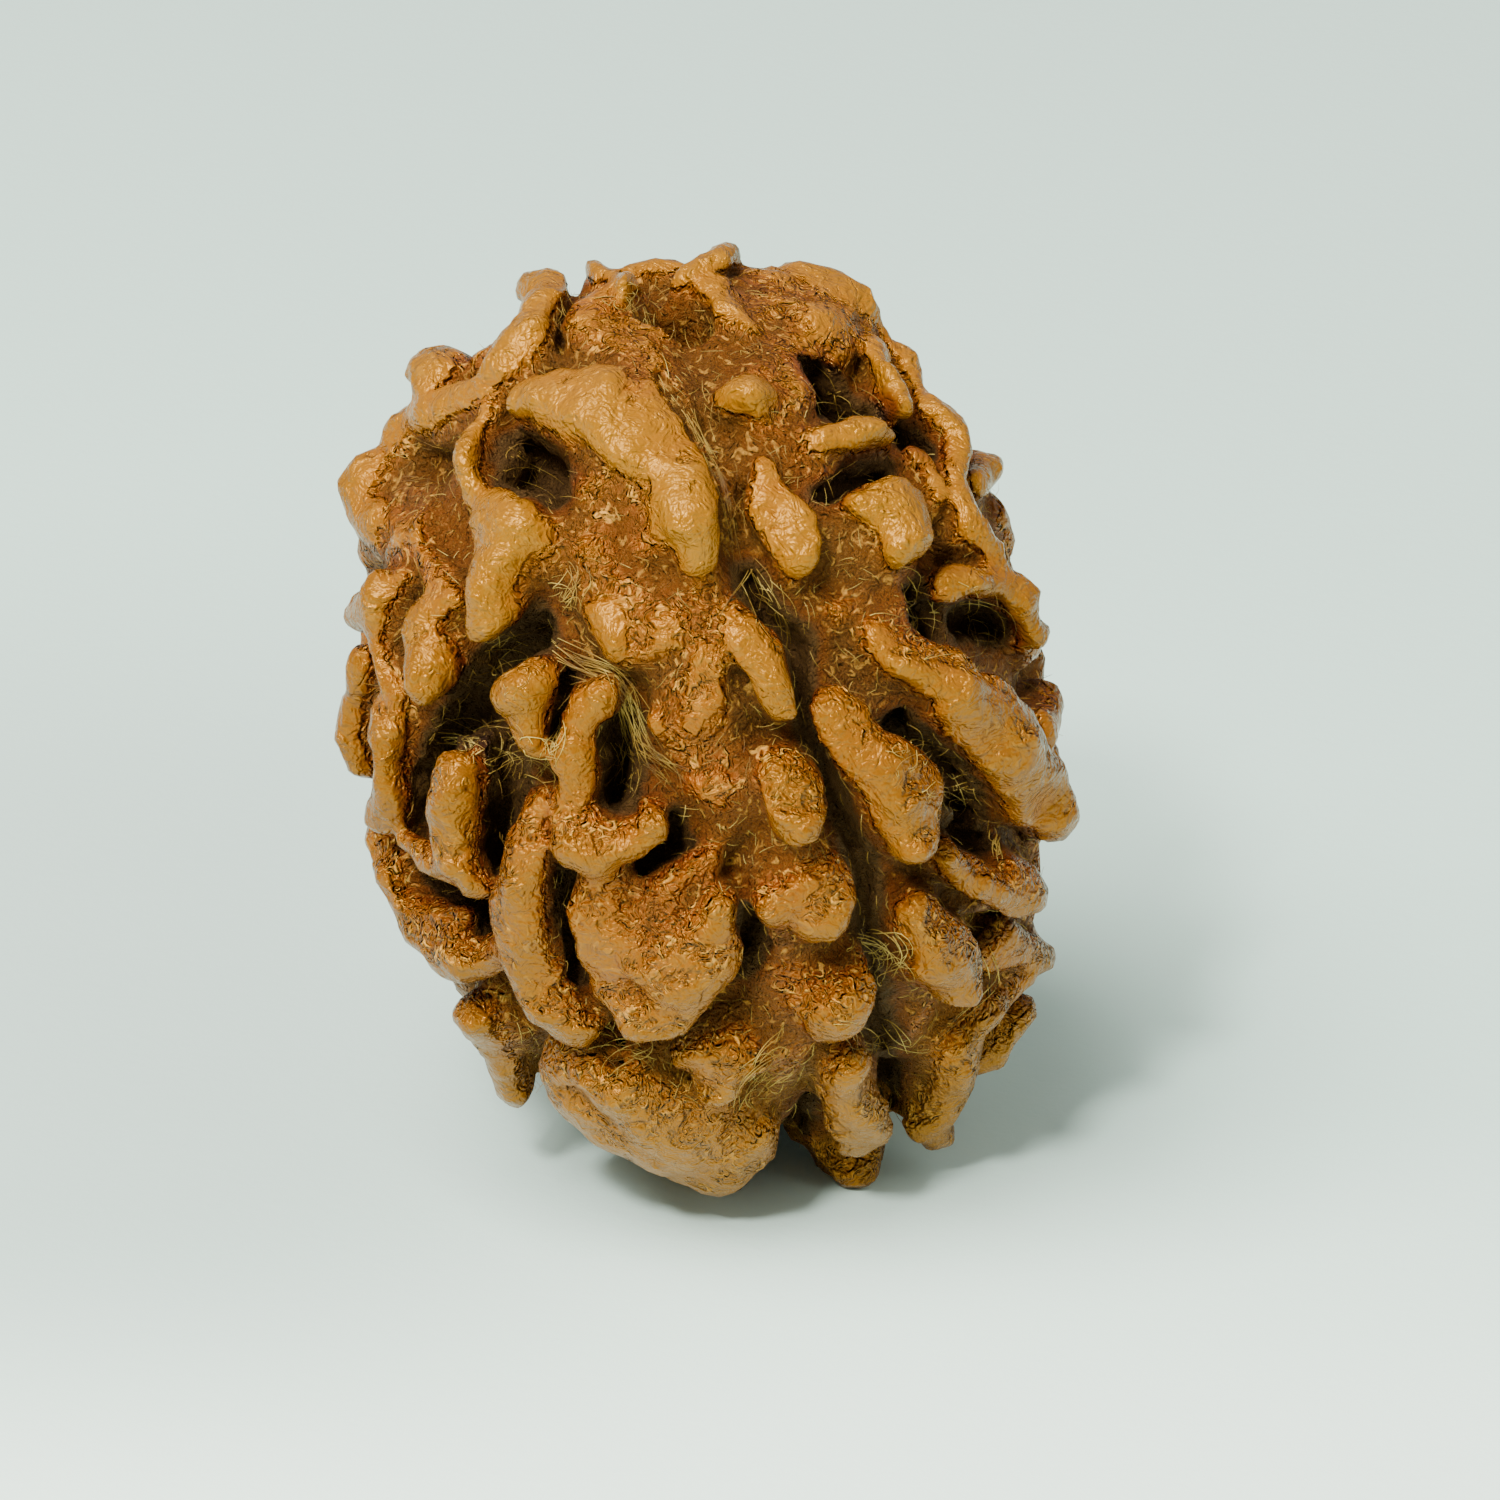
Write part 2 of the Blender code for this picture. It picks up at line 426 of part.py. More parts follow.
def past_outline(point):
    """How far outside the core's outline the eye sees a point; below zero inside it."""
    start = to_egg(EYE, 0.0)
    along = (to_egg(point, 0.0) - start).normalized()
    nearest = (start - along * start.dot(along)).length
    return (nearest - 1.0) * CORE_RADIUS


def hidden_rise(surface, rise, radius):
    """The rise, or as much less as keeps a hidden ridge out of the front view and off the floor."""
    away = outward(surface)
    while rise > LOWEST_DROP:
        point = surface + away * rise
        if past_outline(point) + radius < RIM_ALLOWANCE and point.z - radius > FLOOR_CLEARANCE:
            break
        rise -= RIM_STEP
    return rise


def hidden_drop(draw, turn, latitude, size):
    """One drop of the hidden side: a chain that hangs down the seed and thickens to its tip."""
    length = draw.uniform(*DROP_LENGTH) * size
    drift = draw.uniform(-DROP_DRIFT, DROP_DRIFT)
    bend = draw.uniform(-DROP_BEND, DROP_BEND)
    base = draw.uniform(*DROP_BASE_RADIUS) * size
    tip = draw.uniform(*DROP_TIP_RADIUS) * size
    lift = draw.uniform(*DROP_RISE)
    steps = 3
    chain = []
    for i in range(steps + 1):
        share = i / steps
        level = latitude - math.degrees(length * share / CORE_HALF_LENGTH)
        sideways = drift * share + bend * math.sin(math.pi * share)
        flat = max(math.cos(math.radians(level)), POLE_FLATNESS)
        around = turn + math.degrees(sideways / (CORE_RADIUS * flat))
        radius = base + (tip - base) * math.sin(math.pi / 2 * share)
        surface = by_turn(around, level, 0.0)
        rise = hidden_rise(surface, lift * (0.6 + 0.4 * share), radius)
        if rise <= LOWEST_DROP:
            return None
        chain.append((surface + outward(surface) * rise, radius))
    return chain


def is_hidden(crest):
    return all(facing(point) < SEEN_FACING for point, _radius in crest)


def runs_into(crest, knots):
    return any(
        (point - knot).length < DROP_CLEARANCE * (radius + girth)
        for point, radius in crest for knot, girth in knots)


def hidden_crests(front):
    """Rows of drops in every face, where the front view shows nothing and clear of its ridges."""
    draw = random.Random(HIDDEN_SEED)
    knots = [pair for crest in front for pair in smooth_chain(crest)]
    crests = []
    face_turn = 360.0 / FACES
    for face in range(FACES):
        seam = FIRST_SEAM_DEGREES + face * face_turn
        for row in range(ROWS):
            latitude = TOP_ROW_LATITUDE * (1.0 - 2.0 * (row + 0.5) / ROWS)
            width = math.radians(face_turn) * CORE_RADIUS * math.cos(math.radians(latitude))
            count = max(1, round(width / DROP_SPACING))
            for k in range(count):
                share = (k + 0.5 + draw.uniform(-0.22, 0.22) + 0.25 * (row % 2) - 0.12) / count
                level = latitude + draw.uniform(-5.0, 5.0)
                size = draw.uniform(0.8, 1.2) * (1.0 if count > 1 else 0.8)
                for scale in DROP_SIZES:
                    crest = hidden_drop(draw, seam + share * face_turn, level, size * scale)
                    if crest and is_hidden(crest) and not runs_into(crest, knots):
                        crests.append(crest)
                        break
    return crests


def hidden_pit_chains(crests):
    """Pits in the gaps between the drops of the hidden side."""
    draw = random.Random(HIDDEN_SEED + 1)
    knots = [pair for crest in crests for pair in smooth_chain(crest)]
    chains = []
    for _try in range(PIT_TRIES):
        turn = draw.uniform(0.0, 360.0)
        latitude = math.degrees(math.asin(draw.uniform(-0.93, 0.93)))
        middle = by_turn(turn, latitude, 0.0)
        slant = math.radians(draw.uniform(-HIDDEN_PIT_SLANT_DEGREES, HIDDEN_PIT_SLANT_DEGREES))
        reach = draw.uniform(*HIDDEN_PIT_REACH)
        radius = draw.uniform(*HIDDEN_PIT_RADIUS)
        if facing(middle) > HIDDEN_PIT_FACING:
            continue
        ends = []
        for sign in (1, -1):
            level = latitude + sign * math.degrees(reach * math.cos(slant) / CORE_HALF_LENGTH)
            flat = CORE_RADIUS * max(math.cos(math.radians(latitude)), POLE_FLATNESS)
            around = turn + sign * math.degrees(reach * math.sin(slant) / flat)
            ends.append(by_turn(around, level, 0.0))
        free = min(
            min((end - point).length - girth for end in (*ends, middle)) for point, girth in knots)
        if free < radius * 0.75:
            continue
        if any((middle - other[0][0]).length < HIDDEN_PIT_SPACING for other in chains):
            continue
        for rise, width in HIDDEN_PIT_LEVELS:
            line = (ends[0], middle, ends[1])
            chains.append([(point + outward(point) * rise, radius * width) for point in line])
    return chains


def hidden_seam_chains():
    chains = []
    for face in range(FACES):
        turn = FIRST_SEAM_DEGREES + face * 360.0 / FACES
        points = []
        for level in range(76, -81, -6):
            sway = HIDDEN_SEAM_SWAY_DEGREES * math.sin(math.radians(level * 4.0) + face)
            surface = by_turn(turn + sway, level, 0.0)
            if facing(surface) < HIDDEN_SEAM_FACING:
                points.append((surface, HIDDEN_SEAM_RADIUS))
        if len(points) > 2:
            chains.append(points)
    return chains


def bore_chains():
    """The bore from the mouth that is seen to the lower pole, wider at both ends."""
    top = on_sight(*BORE_MOUTH_IN_VIEW, BORE_MOUTH_RISE)
    bottom = by_turn(0.0, -90.0, BORE_MOUTH_RISE)
    along = (top - bottom).normalized()
    past = along * BORE_OVERSHOOT
    chains = [[(top + past, BORE_RADIUS), (bottom - past, BORE_RADIUS)]]
    for mouth, inward in ((top, -along), (bottom, along)):
        chains.append([(mouth, BORE_MOUTH_RADIUS), (mouth + inward * BORE_MOUTH_DEPTH, BORE_RADIUS)])
    return chains


def foot_chains():
    """Knobs on the underside, round the weight, that the seed rests on."""
    chains = []
    for x, y, radius in FEET:
        low = Vector((CENTRE.x + x, CENTRE.y + y, radius - FOOT_SINK))
        high = low + Vector((-x * FOOT_LEAN, -y * FOOT_LEAN, FOOT_LENGTH))
        chains.append([(high, radius * FOOT_FLARE), (low, radius)])
    return chains


def rounded(chain):
    """A smooth chain with a round end at each side, as rings that shrink over the last radius."""
    chain = smooth_chain(chain)
    if len(chain) == 1 or (chain[0][0] - chain[-1][0]).length < 1e-4:
        chain = [chain[0], (chain[0][0] + Vector((0, 0, 0.01)), chain[0][1])]
    for _side in range(2):
        (point, radius), (inner, _inner_radius) = chain[0], chain[1]
        away = (point - inner).normalized()
        rings = [
            (point + away * radius * math.sin(angle), radius * math.cos(angle))
            for angle in (math.radians(82.0), math.radians(50.0), math.radians(25.0))]
        chain = rings + chain
        chain.reverse()
    return chain


def add_tubes(chains, label, collection):
    """Each chain as a round tapered solid: a bevelled curve whose width follows the chain, made a mesh."""
    curves = []
    for number, chain in enumerate(chains):
        curve = bpy.data.curves.new(f"{label}_{number:03d}", "CURVE")
        curve.dimensions = "3D"
        curve.bevel_depth = 1.0
        curve.bevel_resolution = TUBE_BEVEL_RESOLUTION
        curve.use_fill_caps = True
        rings = rounded(chain)
        spline = curve.splines.new("POLY")
        spline.points.add(len(rings) - 1)
        for knot, (point, radius) in zip(spline.points, rings):
            knot.co = (*point, 1.0)
            knot.radius = radius
        tube = bpy.data.objects.new(curve.name, curve)
        collection.objects.link(tube)
        curves.append(tube)
    seen = bpy.context.evaluated_depsgraph_get()
    tubes = []
    for tube in curves:
        mesh = bpy.data.meshes.new_from_object(tube.evaluated_get(seen))
        work = bmesh.new()
        work.from_mesh(mesh)
        bmesh.ops.remove_doubles(work, verts=work.verts, dist=1e-4)
        bmesh.ops.recalc_face_normals(work, faces=work.faces)
        work.to_mesh(mesh)
        work.free()
        solid = bpy.data.objects.new(tube.name, mesh)
        solid.matrix_world = tube.matrix_world
        tubes.append(solid)
    for tube, solid in zip(curves, tubes):
        curve = tube.data
        bpy.data.objects.remove(tube)
        bpy.data.curves.remove(curve)
        collection.objects.link(solid)
    return tubes


def as_helpers(objects):
    for helper in objects:
        helper.hide_render = True
        helper.display_type = "WIRE"


def new_collection(name):
    collection = bpy.data.collections.new(name)
    bpy.context.scene.collection.children.link(collection)
    return collection


def apply_modifiers(thing):
    """Turns what the modifiers make into the object's own mesh."""
    seen = bpy.context.evaluated_depsgraph_get()
    mesh = bpy.data.meshes.new_from_object(thing.evaluated_get(seen))
    thing.modifiers.clear()
    thing.data = mesh


def boolean_with(thing, collection, operation):
    """One Boolean of the object with all of a collection, applied, and the collection emptied."""
    boolean = thing.modifiers.new(operation.lower(), "BOOLEAN")
    boolean.operation = operation
    boolean.operand_type = "COLLECTION"
    boolean.collection = collection
    boolean.solver = "MANIFOLD"
    apply_modifiers(thing)
    for helper in list(collection.objects):
        bpy.data.objects.remove(helper)
    bpy.data.collections.remove(collection)


def make_core(collection):
    """The egg-shaped core, a sphere stretched along the leaning axis."""
    mesh = bpy.data.meshes.new(NAME)
    work = bmesh.new()
    bmesh.ops.create_uvsphere(work, u_segments=64, v_segments=48, radius=1.0)
    for vert in work.verts:
        vert.co = from_egg(vert.co.copy(), 0.0)
    work.to_mesh(mesh)
    work.free()
    core = bpy.data.objects.new(NAME, mesh)
    collection.objects.link(core)
    return core


def keep_outer_body(mesh):
    """Drops loose scraps and fills sealed hollows: of all closed shells only the largest stays."""
    work = bmesh.new()
    work.from_mesh(mesh)
    unseen = set(work.verts)
    shells = []
    while unseen:
        shell = []
        waiting = [unseen.pop()]
        while waiting:
            vert = waiting.pop()
            shell.append(vert)
            for edge in vert.link_edges:
                other = edge.other_vert(vert)
                if other in unseen:
                    unseen.remove(other)
                    waiting.append(other)
        shells.append(shell)
    shells.sort(key=len, reverse=True)
    for shell in shells[1:]:
        bmesh.ops.delete(work, geom=shell, context="VERTS")
    work.to_mesh(mesh)
    work.free()


def refine(seed):
    """Melts the joined solids into one grown surface, and thins its mesh where it is plain."""
    remesh = seed.modifiers.new("melt", "REMESH")
    remesh.mode = "VOXEL"
    remesh.voxel_size = VOXEL
    smooth = seed.modifiers.new("soften", "SMOOTH")
    smooth.factor = 0.5
    smooth.iterations = SMOOTH_PASSES
    apply_modifiers(seed)
    keep_outer_body(seed.data)
    thin = seed.modifiers.new("thin", "DECIMATE")
    thin.use_collapse_triangulate = True
    triangles = sum(len(face.vertices) - 2 for face in seed.data.polygons)
    thin.ratio = min(1.0, TRIANGLES / triangles)
    apply_modifiers(seed)


def cut_flat(mesh):
    """Cuts the feet flat on the floor and closes each cut with one flat face."""
    work = bmesh.new()
    work.from_mesh(mesh)
    everything = work.verts[:] + work.edges[:] + work.faces[:]
    bmesh.ops.bisect_plane(
        work, geom=everything, dist=SNAP, plane_co=(0, 0, 0), plane_no=(0, 0, 1), clear_inner=True)
    for vert in work.verts:
        if abs(vert.co.z) < SNAP:
            vert.co.z = 0.0
    open_edges = [edge for edge in work.edges if edge.is_boundary]
    bmesh.ops.holes_fill(work, edges=open_edges, sides=0)
    bmesh.ops.dissolve_degenerate(work, edges=work.edges, dist=SLIVER)
    bmesh.ops.triangulate(work, faces=[face for face in work.faces if len(face.verts) > 3])
    work.to_mesh(mesh)
    work.free()


def shell_material():
    """Dried, hand-rubbed seed shell: honey brown and a little waxy."""
    material = bpy.data.materials.new("seed_shell")
    material.use_nodes = True
    shader = material.node_tree.nodes["Principled BSDF"]
    shader.inputs["Base Color"].default_value = (0.36, 0.16, 0.04, 1.0)
    shader.inputs["Roughness"].default_value = 0.45
    shader.inputs["Metallic"].default_value = 0.0
    return material


def main():
    """Ridges are joined to the core, pits dug, what overhangs them put back, then grooves and bore cut."""
    for thing in list(bpy.data.objects):
        bpy.data.objects.remove(thing)
    model = new_collection(NAME)
    seed = make_core(model)

    ridges = new_collection("ridges")
    front = front_crests()
    crests = front + hidden_crests(front)
    as_helpers(add_tubes(with_roots(crests) + front_swells() + foot_chains(), "ridge", ridges))
    boolean_with(seed, ridges, "UNION")

    pits = new_collection("pits")
    add_tubes(front_pit_chains(FRONT_PITS, PIT_MOUTH_RISE), "pit", pits)
    add_tubes(hidden_pit_chains(crests), "hidden_pit", pits)
    as_helpers(pits.objects)
    boolean_with(seed, pits, "DIFFERENCE")

    overhangs = new_collection("overhangs")
    as_helpers(add_tubes(front, "overhang", overhangs))
    boolean_with(seed, overhangs, "UNION")

    grooves = new_collection("grooves")
    add_tubes(front_pit_chains(FRONT_SEAMS, SEAM_MOUTH_RISE), "seam", grooves)
    add_tubes(hidden_seam_chains(), "hidden_seam", grooves)
    add_tubes(bore_chains(), "bore", grooves)
    as_helpers(grooves.objects)
    boolean_with(seed, grooves, "DIFFERENCE")

    refine(seed)
    cut_flat(seed.data)
    seed.data.transform(Matrix.Scale(METRES_PER_MM, 4))
    seed.data.shade_smooth()
    seed.data.materials.clear()
    seed.data.materials.append(shell_material())


main()
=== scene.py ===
"""The looks of a rudraksha seed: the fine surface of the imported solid, its finish, the lint in its
pits, a pale floor, soft light and the photograph's camera.

The seed is grown as a distance field, in millimetres: an egg-shaped core, named ridges and pits of
the side that is seen, a seeded rule for the hidden side, all melted together, and then meshed.
"""

import math
import random

import bmesh
import bpy
import numpy as np
from mathutils import Matrix, Vector
from mathutils.bvhtree import BVHTree


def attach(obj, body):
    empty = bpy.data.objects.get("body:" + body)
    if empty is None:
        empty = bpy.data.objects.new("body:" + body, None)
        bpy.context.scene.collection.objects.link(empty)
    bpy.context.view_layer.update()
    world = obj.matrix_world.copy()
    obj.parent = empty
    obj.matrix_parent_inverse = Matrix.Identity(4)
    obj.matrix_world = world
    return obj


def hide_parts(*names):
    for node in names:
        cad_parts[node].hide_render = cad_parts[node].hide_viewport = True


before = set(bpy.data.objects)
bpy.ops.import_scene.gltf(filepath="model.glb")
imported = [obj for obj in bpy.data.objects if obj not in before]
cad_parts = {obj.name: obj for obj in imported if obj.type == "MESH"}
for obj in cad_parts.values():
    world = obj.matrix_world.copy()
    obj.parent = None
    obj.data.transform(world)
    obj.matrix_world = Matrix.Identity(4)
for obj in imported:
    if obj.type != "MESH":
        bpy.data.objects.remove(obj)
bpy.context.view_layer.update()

NODE = "rudraksha_seed"
METRES_PER_MM = 0.001

# The core, an egg that stands a little aslant
CORE_RADIUS = 9.0
CORE_HALF_LENGTH = 12.5
CENTRE = Vector((0.0, 0.0, 13.2))
LEAN_DEGREES = 8.5  # the top leans towards -X

# The bore, wide enough for a cord
BORE_RADIUS = 0.9
BORE_MOUTH_RADIUS = 1.1
BORE_MOUTH_RISE = 0.3
BORE_MOUTH_DEPTH = 1.6
BORE_OVERSHOOT = 3.0  # how far the drill runs past both mouths
BORE_MOUTH_IN_VIEW = (-2.2, 12.55)

# The front view: where the eye is, and where it sees the middle of the seed
VIEW_ELEVATION_DEGREES = 25.0
EYE_DISTANCE = 250.0
VIEW_WIDTH = 42.857  # what the photograph's width spans at the seed
CENTRE_IN_VIEW = (-1.2, 0.9)

# The faces of the seed and its seam lines, as turns from the viewer's side towards +X
FACES = 5
FIRST_SEAM_DEGREES = 19.0

# How a ridge is rooted: a second, fatter chain at a share of the crest's rise
ROOT_RISE_SHARE = 0.3
ROOT_FATNESS = 1.12

# The rise at which a pit and a seam are seen where their points say
PIT_MOUTH_RISE = 0.7
SEAM_MOUTH_RISE = 0.6
PIT_LIP = 0.5  # how far above its mouth a pit is cut free
PIT_LIP_WIDTH = 0.95
PIT_FLOOR_WIDTH = 0.75

# The hidden side: rows of drops in every face
HIDDEN_SEED = 5
ROWS = 11
TOP_ROW_LATITUDE = 78.0
DROP_SPACING = 2.75
DROP_SIZES = (1.0, 0.75, 0.55)  # a drop that doesn't fit at full size is tried again smaller
DROP_LENGTH = (1.6, 3.9)
DROP_DRIFT = 1.3  # how far a drop's tip may stand to one side
DROP_BEND = 0.6
DROP_BASE_RADIUS = (0.42, 0.60)
DROP_TIP_RADIUS = (0.62, 0.92)
DROP_RISE = (0.75, 1.25)
DROP_STEPS = 3
DROP_FIRST_RISE = 0.6  # share of its rise that a drop has where it begins
DROP_GAIN = 0.4  # and what it gains on the way to its tip
DROP_SPREAD = 0.22  # how far a drop strays along its row, as a share of the room it has
ROW_SHIFT = 0.25  # how far every other row is shifted, as a share of the same
ROW_START = 0.12  # how much earlier every row starts, as a share of the same
ROW_STRAY_DEGREES = 5.0  # how far a drop strays up or down from its row
DROP_SCALE = (0.8, 1.2)  # the range of sizes that drops are drawn from
LONE_DROP_SCALE = 0.8  # for the only drop of a row, near a pole
LOWEST_DROP = -0.35  # a drop that would have to sink deeper than this is left out
DROP_CLEARANCE = 0.8  # a drop stays this share of both radii away from the ridges of the front view
SEEN_FACING = 0.3  # where the surface faces the eye more than this, only the front view's ridges stand
RIM_ALLOWANCE = 0.6  # the most that a hidden ridge may show past the core's outline in the front view
RIM_STEP = 0.1

# The hidden side's pits, in the gaps that the drops leave, and its seam lines
PIT_TRIES = 900
HIDDEN_PIT_HEIGHT = 0.93  # pits lie no nearer the poles than this share of the way
HIDDEN_PIT_ROOM = 0.75  # the share of its radius that a pit has free around it
HIDDEN_PIT_REACH = (0.5, 1.3)
HIDDEN_PIT_RADIUS = (0.36, 0.55)
HIDDEN_PIT_SLANT_DEGREES = 25.0
HIDDEN_PIT_SPACING = 2.6
HIDDEN_PIT_FACING = -0.12
HIDDEN_PIT_LEVELS = ((0.25, 1.0), (-0.45, 1.0), (-1.15, 0.75))  # rise, share of the radius
HIDDEN_SEAM_RADIUS = 0.30
HIDDEN_SEAM_FACING = -0.05
HIDDEN_SEAM_SWAY_DEGREES = 3.0
HIDDEN_SEAM_WAVES = 4.0  # how many waves a seam would have in a whole turn over the poles
HIDDEN_SEAM_LEVELS = range(76, -81, -6)  # latitudes, from top to bottom
POLE_FLATNESS = 0.25  # keeps turns near the poles from growing without end

CHAIN_STEP = 0.7

